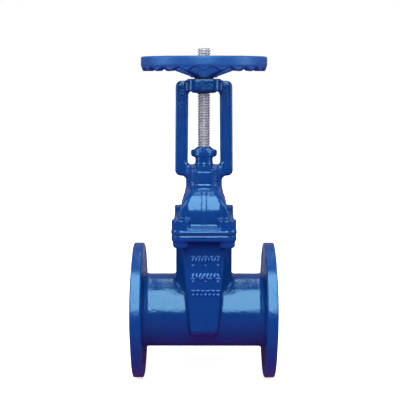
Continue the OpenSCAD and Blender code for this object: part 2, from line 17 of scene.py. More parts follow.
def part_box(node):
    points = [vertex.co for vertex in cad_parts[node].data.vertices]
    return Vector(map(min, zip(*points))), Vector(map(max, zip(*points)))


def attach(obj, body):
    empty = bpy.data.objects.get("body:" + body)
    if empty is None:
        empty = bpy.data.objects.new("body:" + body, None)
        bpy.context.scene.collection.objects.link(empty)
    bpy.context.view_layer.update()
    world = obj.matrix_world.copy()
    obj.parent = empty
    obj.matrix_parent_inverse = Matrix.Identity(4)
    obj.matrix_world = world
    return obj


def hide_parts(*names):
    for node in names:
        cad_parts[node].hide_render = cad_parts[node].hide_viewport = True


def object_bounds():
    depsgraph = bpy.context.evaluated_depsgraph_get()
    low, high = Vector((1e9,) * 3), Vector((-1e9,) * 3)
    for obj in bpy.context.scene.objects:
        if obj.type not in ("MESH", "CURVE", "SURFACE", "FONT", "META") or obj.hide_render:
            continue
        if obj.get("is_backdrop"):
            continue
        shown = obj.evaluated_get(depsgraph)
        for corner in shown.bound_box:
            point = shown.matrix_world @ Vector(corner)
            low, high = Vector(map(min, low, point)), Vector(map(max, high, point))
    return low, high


bl_info = {
    "name": "Rising Stem Gate Valve",
    "version": (1, 0, 0),
    "blender": (4, 5, 0),
    "location": "View3D > Sidebar > Valve",
    "description": "Castings, threads, screws, coatings and a studio for a flanged gate valve",
    "category": "Add Mesh",
}

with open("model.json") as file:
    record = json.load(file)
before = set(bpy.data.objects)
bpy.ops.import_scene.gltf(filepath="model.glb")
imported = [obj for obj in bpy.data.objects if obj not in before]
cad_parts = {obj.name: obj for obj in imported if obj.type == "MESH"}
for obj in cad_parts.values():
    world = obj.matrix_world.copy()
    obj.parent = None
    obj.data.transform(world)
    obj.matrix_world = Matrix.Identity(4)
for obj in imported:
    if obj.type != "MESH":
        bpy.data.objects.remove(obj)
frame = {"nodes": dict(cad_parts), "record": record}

MM = 0.001


def corners(node):
    """Lowest and highest corner of a node in millimetres."""
    low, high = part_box(node)
    return low / MM, high / MM


BODY_LOW, BODY_HIGH = corners("body_casting")
BONNET_LOW, BONNET_HIGH = corners("bonnet")
YOKE_HIGH = corners("yoke")[1]
GLAND_LOW, GLAND_HIGH = corners("gland_follower")
WHEEL_LOW, WHEEL_HIGH = corners("handwheel")
STEM_LOW, STEM_HIGH = corners("stem")
STEM_X = (STEM_LOW.x + STEM_HIGH.x) / 2
STEM_R = (STEM_HIGH.x - STEM_LOW.x) / 2
TO_FRAME = Matrix.Translation((STEM_X * MM, 0, 0)) @ Matrix.Scale(MM, 4)
LIE_DOWN = Matrix.Rotation(math.radians(90), 4, "Y")

# ---- Sizes of the castings, in millimetres ----

FLANGE_R = -BODY_LOW.z
FLANGE_T = 19.0
FACE_R = 78.0
FACE_H = 3.0
BORE_R = 50.0
RUN_R = 58.0
FLANGE_FILLET = 10.0
BOLT_CIRCLE_R = 90.0
BOLT_HOLE_R = 9.0
BOLT_COUNT = 8

JOINT_Z = BODY_HIGH.z
JOINT_HALF_X = (BONNET_HIGH.x - BONNET_LOW.x) / 2
JOINT_HALF_Y = BONNET_HIGH.y
JOINT_CORNER = 14.5
TOP_FLANGE_Z = JOINT_Z - 9.0
NECK_HALF_X = 44.0
NECK_HALF_Y = 44.0
NECK_CORNER = 26.0
POCKET_HALF_Y = 75.0
POCKET_FOOT_X = 21.5
POCKET_FOOT_Z = -17.0
POCKET_SLOPE = 0.086
POCKET_EDGE = 4.0
# Direction square to the pocket's underside, and how far it is set in from the corner
UNDER_Y = 0.433
UNDER_Z = 0.901
UNDER_SET = 6.0
RUN_STUB = 12.0
HOUSING_FOOT_Z = -41.0
SCREW_X = 34.5
SCREW_Y = 79.5
UNDER_BOSS_R = 12.5
UNDER_BOSS_H = 11.0

BONNET_REACH = (50, 96)
BONNET_Z = BONNET_LOW.z
SLOPE_Z = BONNET_Z + 5.5
SHELF_Z = SLOPE_Z + 4.2
LEDGE_CLIMB = 0.95
LEDGE_SET = 1.2
LEDGE_CORNER = 12.0
DOME_FOOT_Z = SLOPE_Z + 5.5
DOME_HALF_X = 38.5
DOME_HALF_Y = 71.5
DOME_SIDE_R = 93.0
DOME_FRONT_R = 38.0
DOME_SPRING_Z = 166.0
HOLLOW_HALF_Y = 76.0
HOLLOW_FRONT_R = 48.0
HOLLOW_SPRING_Z = 154.0
HOLLOW_REACH = (40, 70)
DOME_TOP_Z = 199.0
RIB_HALF_X = 4.8
RIB_H = 0.36
CASTING_WALL = 8.0
BOSS_R = 14.3
BOSS_TOP_Z = BONNET_Z + 21.5
SINK_R = 9.8
SINK_H = 13.0
RECESS_R = 12.6

YOKE_REACH = (47, 46)
YOKE_Z = BONNET_HIGH.z
COLLAR_R = 28.5
EAR_R = 13.0
EAR_Y = 32.0
EAR_CORNER = 4.0
EAR_PROUD = 1.3
EAR_DROP = 17.0
EAR_TOP_Z = YOKE_Z + 18.5
SILL_Z = YOKE_Z + 24.5
HEAD_TOP_Z = YOKE_HIGH.z
HEAD_RISE = 3.0
BEAM_T = 16.5
FRAME_FOOT_Z = SILL_Z - BEAM_T
FRAME_TOP_Z = HEAD_TOP_Z - HEAD_RISE
FRAME_H = FRAME_TOP_Z - FRAME_FOOT_Z
WINDOW_TOP_Z = FRAME_TOP_Z - BEAM_T
WINDOW_HALF_X = 25.4
ARM_W = 20.0
ARM_DRAW = 1.5
ARM_HALF_DEPTH = 11.0
YOKE_CORNER = 9.0
WINDOW_CORNER = 5.0
HEAD_R = 26.0
NUT_FOOT_R = 15.1
NUT_LIP_R = 19.0
NUT_COLLAR_T = 6.3
EAR_WASHER_R = 10.5
EAR_WASHER_T = 1.6

GLAND_REACH = (22, 17)
GLAND_R = 13.7
GLAND_FLANGE_Z = 246.0
GLAND_TOP_Z = 255.0
GLAND_HALF_X = GLAND_HIGH.x - STEM_X
GLAND_CROWN = 2.5
GLAND_CONE_H = 4.5
GLAND_CLEAR = 0.5
STEM_CLEAR = 0.3

WHEEL_R = (WHEEL_HIGH.x - WHEEL_LOW.x) / 2
RIM_TOP_Z = WHEEL_HIGH.z
RIM_H = 21.0
RIM_W = 15.0
BAND_H = 16.0
LOBES = 23
LOBE_DEPTH = 5.2
LOBE_DRAFT = 0.15
SPOKES = 5
SPOKE_HALF_W = 6.5
SPOKE_TAPER = 1.8
HUB_R = 19.0
HUB_TOP_Z = corners("wheel_washer")[0].z
HUB_Z = HUB_TOP_Z - 9.0
SPOKE_ROOT_Z = WHEEL_LOW.z
HUB_BORE_R = 13.05
HUB_POCKET_R = 15.5

THREAD_SIDES = 48
THREAD_ROWS = 16
THREAD_BEVEL = 1.5
SCREW_EDGE = 0.8
MARK_WIDTH = 38.0
MARK_PROUD = 2.0

# Shares of the thread's pitch from the middle of its crest: the crest's end, the root's start
CREST_END = 0.17
ROOT_START = 0.33
# Shares of a bolt's width: radius of the flat top, and rise of the bevel over that width
BOLT_FLAT_R = 0.47
BOLT_BEVEL_RISE = 0.6
# Width over the flats of a hexagon whose corners stand one from its middle
HEX_FLATS = 2 * math.cos(math.pi / 6)

# ---- Places of the studio, in metres and radians ----

FLOOR_HALF = 20
FLOOR_GAP = 0.0002
FLOOR_NEAR = 0.35
FLOOR_FAR = 1.6
FLOOR_GLOW = 0.75
PATCH_AHEAD = 0.15
PATCH_INNER = 0.1
PATCH_OUTER = 0.32
CAMERA_X = 0.00055
CAMERA_AWAY = 1.51164
CAMERA_UP = 0.37555
CAMERA_TILT = 0.1305
CAMERA_TURN = 0.0045


# ---- Properties ----


def length_prop(name, text, default, low, high, precision=4):
    """A length that a user can change. Its default and its range are in millimetres."""
    return bpy.props.FloatProperty(
        name=name, description=text, default=default * MM, min=low * MM, max=high * MM,
        unit="LENGTH", precision=precision)


def share_prop(name, text, default, low=0.0, high=1.0):
    """A share of one that a user can change."""
    return bpy.props.FloatProperty(
        name=name, description=text, default=default, min=low, max=high, subtype="FACTOR")


def level_prop(name, text, default):
    """The radiance of a lamp."""
    return bpy.props.FloatProperty(name=name, description=text, default=default, min=0)


def colour_prop(name, text, default):
    """An sRGB hex value."""
    return bpy.props.StringProperty(name=name, description=text, default=default)


class CastingSizes(bpy.types.PropertyGroup):
    """Fineness and roundings of the castings."""

    cell: length_prop("Cell", "Width of a mesh cell on the large castings", 1.15, 0.6, 3, 5)
    body_fillet: length_prop("Body Fillet", "Fillet between the pipe run and the gate housing", 5, 1, 12)
    yoke_fillet: length_prop("Yoke Fillet", "Fillet between the yoke's collar and its frame", 8, 1, 14)


class ThreadSizes(bpy.types.PropertyGroup):
    """The stem's left-hand trapezoidal thread."""

    lead: length_prop("Lead", "Rise of the thread in one turn", 4, 2, 8)
    depth: length_prop("Depth", "Depth of the thread's groove", 2.1, 0.5, 3)
    length: length_prop("Length", "Length of the threaded end", 156, 60, 200)


class ScrewSizes(bpy.types.PropertyGroup):
    """Socket screws in the bonnet and hexagon bolts in the yoke's ears."""

    head_radius: length_prop("Head Radius", "Radius of a socket screw's head", 9, 5, 9.6)
    socket_width: length_prop("Socket Width", "Width of the hexagon socket over its flats", 10, 5, 12)
    bolt_width: length_prop("Bolt Width", "Width of an ear bolt's head over its flats", 16, 10, 19)
    bolt_height: length_prop("Bolt Height", "Height of an ear bolt's head", 6.5, 4, 9)


class CoatingLook(bpy.types.PropertyGroup):
    """The fused epoxy on the castings."""

    body_colour: colour_prop("Body Colour", "The coating on body, bonnet and yoke", "#0D3E7E")
    wheel_colour: colour_prop("Wheel Colour", "The coating on the handwheel", "#1B4E8E")
    gloss_colour: colour_prop("Gloss Colour", "Tint of the coating's reflections", "#9BE2FF")
    roughness: share_prop("Roughness", "Roughness on body, bonnet and yoke", 0.16, 0.02, 0.8)
    wheel_roughness: share_prop("Wheel Roughness", "Roughness on the handwheel", 0.42, 0.02, 0.8)
    peel_size: length_prop("Peel Size", "Width of the waves of orange peel", 3.6, 1, 12)
    peel_depth: length_prop("Peel Depth", "Depth of the waves of orange peel", 0.28, 0, 1, 6)


class StudioLook(bpy.types.PropertyGroup):
    """Floor, lamps and camera."""

    floor_colour: colour_prop("Floor Colour", "The floor as the camera sees it", "#FFFFFF")
    floor_near: colour_prop("Floor Near", "What gloss shows of the floor close by", "#944A90")
    floor_dark: colour_prop("Floor Dark", "What gloss shows of the rest of the floor", "#3A2C58")
    floor_far: colour_prop("Floor Far", "What gloss shows of the floor far behind", "#9AA8CC")
    floor_fill: colour_prop("Floor Fill", "The light that the floor gives back", "#9A60A4")
    key_level: level_prop("Key Level", "Radiance of the tall softbox before the valve", 9.4)
    top_level: level_prop("Top Level", "Radiance of the softbox over and behind the valve", 5.5)
    side_level: level_prop("Side Level", "Radiance of each strip beside the valve", 5.0)
    room_colour: colour_prop("Room Colour", "The dim room before the valve", "#4C3562")
    backdrop_level: share_prop("Backdrop Level", "Brightness of the white wall behind the valve", 0.2)
    lens: bpy.props.FloatProperty(
        name="Lens", description="Focal length of the camera in millimetres",
        default=86.706, min=20, max=300)


# ---- Distance fields ----


def join(a, b, r):
    """Both solids, with a fillet of radius r where they meet."""
    return np.maximum(r, np.minimum(a, b)) - np.hypot(np.maximum(r - a, 0), np.maximum(r - b, 0))


def meet(a, b, r):
    """What the two solids share, with its new edge rounded by r."""
    return -join(-a, -b, r)


def cut(a, b, r):
    """The first solid without the second, with the new edge rounded by r."""
    return meet(a, -b, r)


def between(v, low, high):
    """The space between two planes."""
    return np.maximum(low - v, v - high)


def rounded(u, v, half_u, half_v, r):
    """A rectangle about the origin with round corners."""
    du, dv = np.abs(u) - half_u + r, np.abs(v) - half_v + r
    outside = np.hypot(np.maximum(du, 0), np.maximum(dv, 0))
    return outside + np.minimum(np.maximum(du, dv), 0) - r


def disc(u, v, r):
    """A round column along the third axis."""
    return np.hypot(u, v) - r


def gradient(field, points, step=0.02):
    """Slope of a field at each point."""
    slopes = []
    for shift in np.eye(3) * step:
        ahead, behind = field(*(points + shift).T), field(*(points - shift).T)
        slopes.append((ahead - behind) / (2 * step))
    return np.stack(slopes, axis=1)


def cast(name, field, reach, foot_z, top_z, cell):
    """A closed mesh of a field's zero surface, in millimetres. Each corner is drawn onto it.

    The reach is how far the casting goes from the stem's axis along X and Y.
    """
    spans = ((-reach[0], reach[0]), (-reach[1], reach[1]), (foot_z, top_z))
    axes = [np.arange(low - 2 * cell, high + 3 * cell, cell) for low, high in spans]
    grid = openvdb.FloatGrid(3 * cell)
    grid.copyFromArray(field(*np.meshgrid(*axes, indexing="ij")).astype(np.float32))
    points, quads = grid.convertToQuads()
    points = points * cell + [axis[0] for axis in axes]
    for _ in range(2):
        slope = gradient(field, points)
        steep = np.maximum((slope * slope).sum(axis=1), 0.25)
        off = np.clip(field(*points.T), -cell, cell) / steep
        points = points - slope * off[:, None]
    return new_object(name, points.tolist(), quads.tolist())


# ---- Meshes ----


def link_new(name, data):
    """A new object in the scene with this mesh, lamp or camera."""
    made = bpy.data.objects.new(name, data)
    bpy.context.scene.collection.objects.link(made)
    return made


def new_object(name, points, faces):
    """An object with a mesh of these points and faces."""
    mesh = bpy.data.meshes.new(name)
    mesh.from_pydata(points, [], faces)
    mesh.update()
    return link_new(name, mesh)


def arc(centre, r, start, end, steps=6):
    """Points of an arc, with its angles in degrees."""
    angles = np.radians(np.linspace(start, end, steps + 1))
    return [(centre[0] + r * math.cos(a), centre[1] + r * math.sin(a)) for a in angles]


def new_solid(name, shape):
    """An object with a shape's mesh. The shape is used up."""
    mesh = bpy.data.meshes.new(name)
    shape.to_mesh(mesh)
    shape.free()
    return link_new(name, mesh)


def lathe(name, profile, segments, axis="Z"):
    """A closed solid turned from (height, radius) points; the first and last lie on the axis."""
    made = bmesh.new()
    poles = [made.verts.new((0, 0, profile[k][0])) for k in (0, -1)]
    angles = [2 * math.pi * i / segments for i in range(segments)]
    rings = [[made.verts.new((r * math.cos(a), r * math.sin(a), height)) for a in angles]
             for height, r in profile[1:-1]]
    for i in range(segments):
        j = (i + 1) % segments
        made.faces.new((poles[0], rings[0][j], rings[0][i]))
        made.faces.new((poles[1], rings[-1][i], rings[-1][j]))
        for lower, upper in zip(rings, rings[1:]):
            made.faces.new((lower[i], lower[j], upper[j], upper[i]))
    if axis == "X":
        made.transform(LIE_DOWN)
    bmesh.ops.recalc_face_normals(made, faces=made.faces)
    return new_solid(name, made)


def bake(target):
    """Applies every modifier, and makes the result the object's plain mesh."""
    graph = bpy.context.evaluated_depsgraph_get()
    mesh = bpy.data.meshes.new_from_object(target.evaluated_get(graph))
    target.modifiers.clear()
    target.data = mesh
    return target


def combine(target, tool, operation):
    """Unites the tool with the target or takes it away, and removes the tool."""
    modifier = target.modifiers.new(operation, "BOOLEAN")
    modifier.solver = "MANIFOLD"
    modifier.operation = operation
    modifier.object = tool
    bake(target)
    bpy.data.objects.remove(tool)
    return target


def drill(target, steps, segments=96, axis="Z"):
    """Takes a stepped bore out of the target. Each step is a (low, high, radius)."""
    profile = [(steps[0][0], 0)]
    for low, high, r in steps:
        profile += [(low, r), (high, r)]
    profile.append((steps[-1][1], 0))
    return combine(target, lathe("bore", profile, segments, axis), "DIFFERENCE")


def smooth(target, sharp_angle=38):
    """Smooth shading but for edges steeper than an angle, with flat faces kept flat."""
    shape = bmesh.new()
    shape.from_mesh(target.data)
    for face in shape.faces:
        face.smooth = True
    limit = math.radians(sharp_angle)
    for edge in shape.edges:
        edge.smooth = edge.calc_face_angle(0) < limit
    shape.to_mesh(target.data)
    shape.free()
    weighted = target.modifiers.new("flat faces", "WEIGHTED_NORMAL")
    weighted.keep_sharp = True
    weighted.weight = 80
    return bake(target)


def place(target, material, body, slot, *nodes):
    """Gives a finished piece its material and its place in the frame."""
    target.data.materials.clear()
    target.data.materials.append(material)
    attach(target, body)
    if nodes:
        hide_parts(*nodes)
    return target


def finish_casting(made, body, slot, node):
    """Puts a casting drawn in millimetres in its node's place in the frame."""
    made.data.transform(TO_FRAME)
    smooth(made)
    return place(made, finish(slot), body, slot, node)


# ---- Nodes ----


def feed(tree, node, inputs):
    """Sets a node's inputs, by name or number, to values, sockets or other nodes' outputs."""
    for key, value in inputs.items():
        if isinstance(value, bpy.types.Node):
            value = next(socket for socket in value.outputs if socket.enabled)
        if isinstance(value, bpy.types.NodeSocket):
            tree.links.new(value, node.inputs[key])
        else:
            node.inputs[key].default_value = value


def add(tree, kind, inputs=None, **settings):
    """Adds a node with its settings and links."""
    node = tree.nodes.new(kind)
    for name, value in settings.items():
        setattr(node, name, value)
    feed(tree, node, inputs or {})
    return node


def linear(hex_colour, gain=1, lift=0):
    """An sRGB hex value as linear red, green, blue and alpha, paler or darker by gain and lift."""
    values = [int(hex_colour[i:i + 2], 16) / 255 for i in (1, 3, 5)]
    light = [v / 12.92 if v <= 0.04045 else ((v + 0.055) / 1.055) ** 2.4 for v in values]
    return [min(1, v * gain + lift) for v in light] + [1]


def new_material(name):
    """A node material, and its tree, shader and object coordinates."""
    material = bpy.data.materials.new(name)
    material.use_nodes = True
    tree = material.node_tree
    where = add(tree, "ShaderNodeTexCoord").outputs["Object"]
    return material, tree, tree.nodes["Principled BSDF"], where


def new_tree(name, floats, whole=()):
    """A geometry tree with named inputs, and its group input's outputs."""
    tree = bpy.data.node_groups.new(name, "GeometryNodeTree")
    kinds = {**dict.fromkeys(floats, "Float"), **dict.fromkeys(whole, "Int"), "Material": "Material"}
    for label, kind in kinds.items():
        tree.interface.new_socket(label, in_out="INPUT", socket_type="NodeSocket" + kind)
    tree.interface.new_socket("Geometry", in_out="OUTPUT", socket_type="NodeSocketGeometry")
    return tree, add(tree, "NodeGroupInput").outputs


def end_tree(tree, given, geometry):
    """Makes the geometry real, gives it the tree's material and puts it out."""
    real = add(tree, "GeometryNodeRealizeInstances", {"Geometry": geometry})
    done = add(tree, "GeometryNodeSetMaterial", {"Geometry": real, "Material": given["Material"]})
    add(tree, "NodeGroupOutput", {0: done})
    return tree


def grow(name, tree, values):
    """A plain mesh made by a geometry tree from these input values."""
    made = new_object(name, [], [])
    modifier = made.modifiers.new(name, "NODES")
    modifier.node_group = tree
    for item in tree.interface.items_tree:
        if item.in_out == "INPUT" and item.name in values:
            modifier[item.identifier] = values[item.name]
    return bake(made)


# ---- Materials ----


def coated_iron(name, colour, roughness, look):
    """Fusion-bonded epoxy over sand-cast iron: glossy, with orange peel over soft casting waves."""
    material, tree, shader, where = new_material(name)
    peel = add(tree, "ShaderNodeTexNoise", {
        "Vector": where, "Scale": 1 / look.peel_size, "Detail": 2.0, "Roughness": 0.45})
    # Waves of the sand mould, about 13 mm apart
    waves = add(tree, "ShaderNodeTexNoise", {
        "Vector": where, "Scale": 1 / (13 * MM), "Detail": 1.0, "Roughness": 0.4})
    # The powder melts a little thicker in places, which deepens its colour
    film = add(tree, "ShaderNodeTexNoise", {
        "Vector": where, "Scale": 1 / (30 * MM), "Detail": 3.0, "Roughness": 0.6})
    tone = add(tree, "ShaderNodeMix", {
        "Factor": film, 6: linear(colour, 0.86), 7: linear(colour, 1.1)}, data_type="RGBA")
    gloss = add(tree, "ShaderNodeMapRange", {
        "Value": film, "To Min": roughness - 0.03, "To Max": roughness + 0.04})
    under = add(tree, "ShaderNodeBump", {"Height": waves, "Distance": 0.4 * MM})
    skin = add(tree, "ShaderNodeBump", {
        "Height": peel, "Distance": look.peel_depth, "Normal": under})
    feed(tree, shader, {
        "Base Color": tone, "Roughness": gloss, "Normal": skin, "IOR": 1.55,
        "Specular Tint": linear(look.gloss_colour)})
    return material


def metal(name, colour, roughness, groove, stretch=(1, 1, 1), depth=0.02 * MM):
    """A bare metal whose tool marks lie `groove` apart, drawn out along an axis by `stretch`."""
    material, tree, shader, where = new_material(name)
    turned = add(tree, "ShaderNodeMapping", {"Vector": where, "Scale": stretch})
    marks = add(tree, "ShaderNodeTexNoise", {"Vector": turned, "Scale": 1 / groove, "Detail": 4.0})
    stain = add(tree, "ShaderNodeTexNoise", {"Vector": where, "Scale": 1 / (9 * MM), "Detail": 3.0})
    tone = add(tree, "ShaderNodeMix", {
        "Factor": stain, 6: linear(colour, 0.85), 7: linear(colour)}, data_type="RGBA")
    polish = add(tree, "ShaderNodeMapRange", {
        "Value": marks, "To Min": roughness - 0.08, "To Max": roughness + 0.08})
    bump = add(tree, "ShaderNodeBump", {"Height": marks, "Distance": depth})
    feed(tree, shader, {"Base Color": tone, "Roughness": polish, "Normal": bump, "Metallic": 1.0})
    return material


def moulded(name, colour, roughness, grain):
    """A moulded rubber or plastic with a fine matt grain."""
    material, tree, shader, where = new_material(name)
    noise = add(tree, "ShaderNodeTexNoise", {"Vector": where, "Scale": 1 / grain, "Detail": 3.0})
    tone = add(tree, "ShaderNodeMix", {
        "Factor": noise, 6: linear(colour), 7: linear(colour, 1.25, 0.004)}, data_type="RGBA")
    bump = add(tree, "ShaderNodeBump", {"Height": noise, "Distance": 0.03 * MM})
    feed(tree, shader, {"Base Color": tone, "Normal": bump, "Roughness": roughness})
    return material


def make_materials(look):
    """Every finish of the valve by its name in the record."""
    return {
        "blue_coating": coated_iron("fused_epoxy_on_iron", look.body_colour, look.roughness, look),
        "wheel_coating": coated_iron(
            "fused_epoxy_on_wheel", look.wheel_colour, look.wheel_roughness, look),
        # Turned bar: fine rings round the stem, about 0.4 mm apart
        "stainless_steel": metal(
            "turned_stainless_steel", "#C2C5C9", 0.5, 1.5 * MM, (1, 1, 4), 0.003 * MM),
        # Painted highlight: the raised strokes get a paler blue than the body, standing in for light on
        # their tops
        "mark_coating_painted_highlight": coated_iron("fused_epoxy_on_marks_painted_highlight", "#3F76B8", 0.3, look),
        "plated_steel": metal("zinc_plated_steel", "#B4B6B4", 0.38, 1 * MM),
        # Painted shade: the brass is coloured far darker than bare brass, standing in for the shade
        # under the hub
        "brass": metal("machined_brass_painted_shade", "#4C3A22", 0.5, 1.2 * MM, (1, 1, 4)),
        "black_rubber": moulded("nitrile_rubber_sheet", "#22224A", 0.7, 0.8 * MM),
        "wedge_rubber": moulded("vulcanised_rubber", "#1B1C1E", 0.5, 1.2 * MM),
        "guide_plastic": moulded("moulded_polyamide", "#CFCBBE", 0.45, 1 * MM),
    }


MATERIALS = {}


def finish(slot):
    """A finish by its name. All of them are made the first time that one is asked for."""
    if not MATERIALS:
        MATERIALS.update(make_materials(bpy.context.scene.valve_coating))
    return MATERIALS[slot]


# ---- Body ----


def under_bosses(x, y, z):
    """The four bosses under the top flange, which the joint screws end in."""
    column = disc(np.abs(x) - SCREW_X, np.abs(y) - SCREW_Y, UNDER_BOSS_R)
    return meet(column, between(z, TOP_FLANGE_Z - UNDER_BOSS_H, JOINT_Z - 2), 4)


def wedge_pocket(x, y, z, inset):
    """The tapered pocket that the wedge slides in, with its underside drawn back to the run."""
    half_x = POCKET_FOOT_X + (z - POCKET_FOOT_Z) * POCKET_SLOPE - inset
    front = np.abs(y) - POCKET_HALF_Y + inset
    out = np.abs(y) - POCKET_HALF_Y + UNDER_SET
    under = UNDER_Y * out - UNDER_Z * (z - POCKET_FOOT_Z + UNDER_SET) + inset
    edge = max(POCKET_EDGE - inset, 1)
    return meet(meet(np.abs(x) - half_x, front, edge), under, 6 if inset == 0 else 1)


def housing(x, y, z, fillet):
    """Neck, pocket, top flange and bosses, faired into the pipe run."""
    neck = rounded(x, y, NECK_HALF_X, NECK_HALF_Y, NECK_CORNER)
    neck = meet(neck, between(z, 0, JOINT_Z - 1), 1)
    pocket = meet(wedge_pocket(x, y, z, 0), z - JOINT_Z + 1, 1)
    run = meet(disc(y, z, RUN_R - 0.01), np.abs(x) - NECK_HALF_X - RUN_STUB, 0.5)
    wall = join(join(neck, pocket, 4), run, fillet)
    flange = rounded(x, y, JOINT_HALF_X, JOINT_HALF_Y, JOINT_CORNER)
    flange = meet(flange, between(z, TOP_FLANGE_Z, JOINT_Z + 1), 2.2)
    wall = join(wall, join(flange, under_bosses(x, y, z), 3), 4)
    return meet(meet(wall, z - JOINT_Z, 0.8), HOUSING_FOOT_Z - z, 0.5)


def housing_hollow(x, y, z):
    """The space in the housing that the wedge moves through."""
    neck = rounded(x, y, NECK_HALF_X - CASTING_WALL, NECK_HALF_Y - CASTING_WALL, NECK_CORNER - 6)
    neck = meet(neck, between(z, RUN_R, JOINT_Z + 4), 0.5)
    pocket = meet(wedge_pocket(x, y, z, CASTING_WALL), z - JOINT_Z - 4, 0.5)
    return join(neck, pocket, 1)


def pipe_profile():
    """Half section of the pipe run and both flanges from end to end."""
    half = BODY_HIGH.x / 2
    side = [(0, 0), (0, FACE_R - 1), (0, FACE_R - 0.6), (0.6, FACE_R), (FACE_H - 0.5, FACE_R)]
    side += [(FACE_H, FACE_R + 0.5)]
    side += arc((FACE_H + 1.2, FLANGE_R - 1.2), 1.2, 180, 90, 4)
    side += arc((FLANGE_T - 2, FLANGE_R - 2), 2, 90, 0, 5)
    side += arc((FLANGE_T + FLANGE_FILLET, RUN_R + FLANGE_FILLET), FLANGE_FILLET, 180, 270, 10)
    side += [(x, RUN_R) for x in np.linspace(FLANGE_T + FLANGE_FILLET + 3, half, 18)]
    other = [(2 * half - x, r) for x, r in reversed(side[:-1])]
    return [(x - half, r) for x, r in side + other]


def bolt_holes():
    """One tool for all the flange holes."""
    holes = bmesh.new()
    for side in (-1, 1):
        for k in range(BOLT_COUNT):
            angle = (k + 0.5) * 2 * math.pi / BOLT_COUNT
            spot = Matrix.Translation((
                side * (BODY_HIGH.x / 2 - FLANGE_T / 2),
                BOLT_CIRCLE_R * math.cos(angle), BOLT_CIRCLE_R * math.sin(angle)))
            bmesh.ops.create_cone(
                holes, cap_ends=True, segments=48, radius1=BOLT_HOLE_R, radius2=BOLT_HOLE_R,
                depth=FLANGE_T + 4, matrix=spot @ LIE_DOWN)
    return new_solid("bolt_holes", holes)


class VALVE_OT_body(bpy.types.Operator):
    """Casts the body: pipe run, flanges, neck, wedge pocket and top flange"""

    bl_idname = "valve.body"
    bl_label = "Body"

    def execute(self, context):
        sizes = context.scene.valve_castings
        fillet = sizes.body_fillet / MM
        run = lathe("body", pipe_profile(), 240, "X")
        reach = (NECK_HALF_X + RUN_STUB + 1, JOINT_HALF_Y)
        gate = cast("gate_housing", lambda x, y, z: housing(x, y, z, fillet), reach,
                    HOUSING_FOOT_Z - 1, JOINT_Z, sizes.cell / MM * 1.05)
        combine(run, gate, "UNION")
        hollow = cast(
            "hollow", housing_hollow, HOLLOW_REACH, HOUSING_FOOT_Z + 1, JOINT_Z + 5, 2.5)
        combine(run, hollow, "DIFFERENCE")
        half = BODY_HIGH.x / 2
        drill(run, [(-half - 2, half + 2, BORE_R)], 144, "X")
        combine(run, bolt_holes(), "DIFFERENCE")
        finish_casting(run, "valve_body", "blue_coating", "body_casting")
        return {"FINISHED"}


# ---- Bonnet ----


def dome(x, y, z, half_y, front_r, spring_z, top_z, edge):
    """A dome: long sides and shoulders on arcs, with round upright edges."""
    rise = np.maximum(z - spring_z, 0)
    front = np.hypot(np.maximum(np.abs(y) - half_y + front_r, 0), rise) - front_r
    side_rise = np.maximum(z - DOME_FOOT_Z, 0)
    side = np.hypot(np.abs(x) - DOME_HALF_X + DOME_SIDE_R, side_rise) - DOME_SIDE_R
    return meet(meet(front, side, edge), z - top_z, 2)


def dome_shell(x, y, z):
    """The dome's outside with the low rib down the middle of its front and back."""
    shell = dome(x, y, z, DOME_HALF_Y, DOME_FRONT_R, DOME_SPRING_Z, DOME_TOP_Z, 9)
    return shell - RIB_H * np.clip((RIB_HALF_X - np.abs(x)) * 2 / RIB_HALF_X, 0, 1)


def ear_plan(x, y):
    """The outline of the ears that hold yoke and bonnet together: straight front, round corners."""
    half_y = (EAR_Y + EAR_R) / 2
    return rounded(x, np.abs(y) - half_y, EAR_R, half_y, EAR_CORNER)


def bonnet(x, y, z):
    """Joint flange, sloped ledge, dome, screw bosses, stuffing box and its ears."""
    plate = rounded(x, y, JOINT_HALF_X, JOINT_HALF_Y, JOINT_CORNER)
    plate = meet(plate, z - SLOPE_Z, 2)
    inward = LEDGE_SET + LEDGE_CLIMB * (z - SLOPE_Z)
    # The factor brings the sloped field back to true distances
    ledge = rounded(x, y, JOINT_HALF_X - inward, JOINT_HALF_Y - inward, LEDGE_CORNER) * 0.72
    ledge = meet(ledge, between(z, SLOPE_Z - 2, SHELF_Z), 1.5)
    shell = join(join(plate, ledge, 0.8), dome_shell(x, y, z), 3)
    collar = disc(x, y, COLLAR_R)
    collar = meet(collar, between(z, DOME_FOOT_Z + 20, YOKE_Z + 1), 1)
    shell = join(shell, collar, 7)
    column = disc(np.abs(x) - SCREW_X, np.abs(y) - SCREW_Y, BOSS_R)
    boss = meet(column, z - BOSS_TOP_Z, 1.3)
    shell = join(shell, boss, 2.2)
    recess = disc(np.abs(x) - SCREW_X, np.abs(y) - SCREW_Y, RECESS_R)
    shell = cut(shell, meet(recess, BOSS_TOP_Z - z, 1.2), 1.6)
    ear = ear_plan(x, y) - EAR_PROUD
    taper = (YOKE_Z - EAR_DROP + 3 - z) * 0.75
    ear = meet(ear + np.maximum(taper + 3, 0) * 0.6, YOKE_Z - EAR_DROP - z, 1.5)
    ear = meet(ear, z - YOKE_Z, 3)
    shell = join(meet(shell, z - YOKE_Z, 0.6), ear, 2)
    shell = meet(meet(shell, z - YOKE_Z, 0.3), BONNET_Z - z, 0.8)
    sink = disc(np.abs(x) - SCREW_X, np.abs(y) - SCREW_Y, SINK_R)
    return cut(shell, meet(sink, BOSS_TOP_Z - SINK_H - z, 0.5), 0.7)


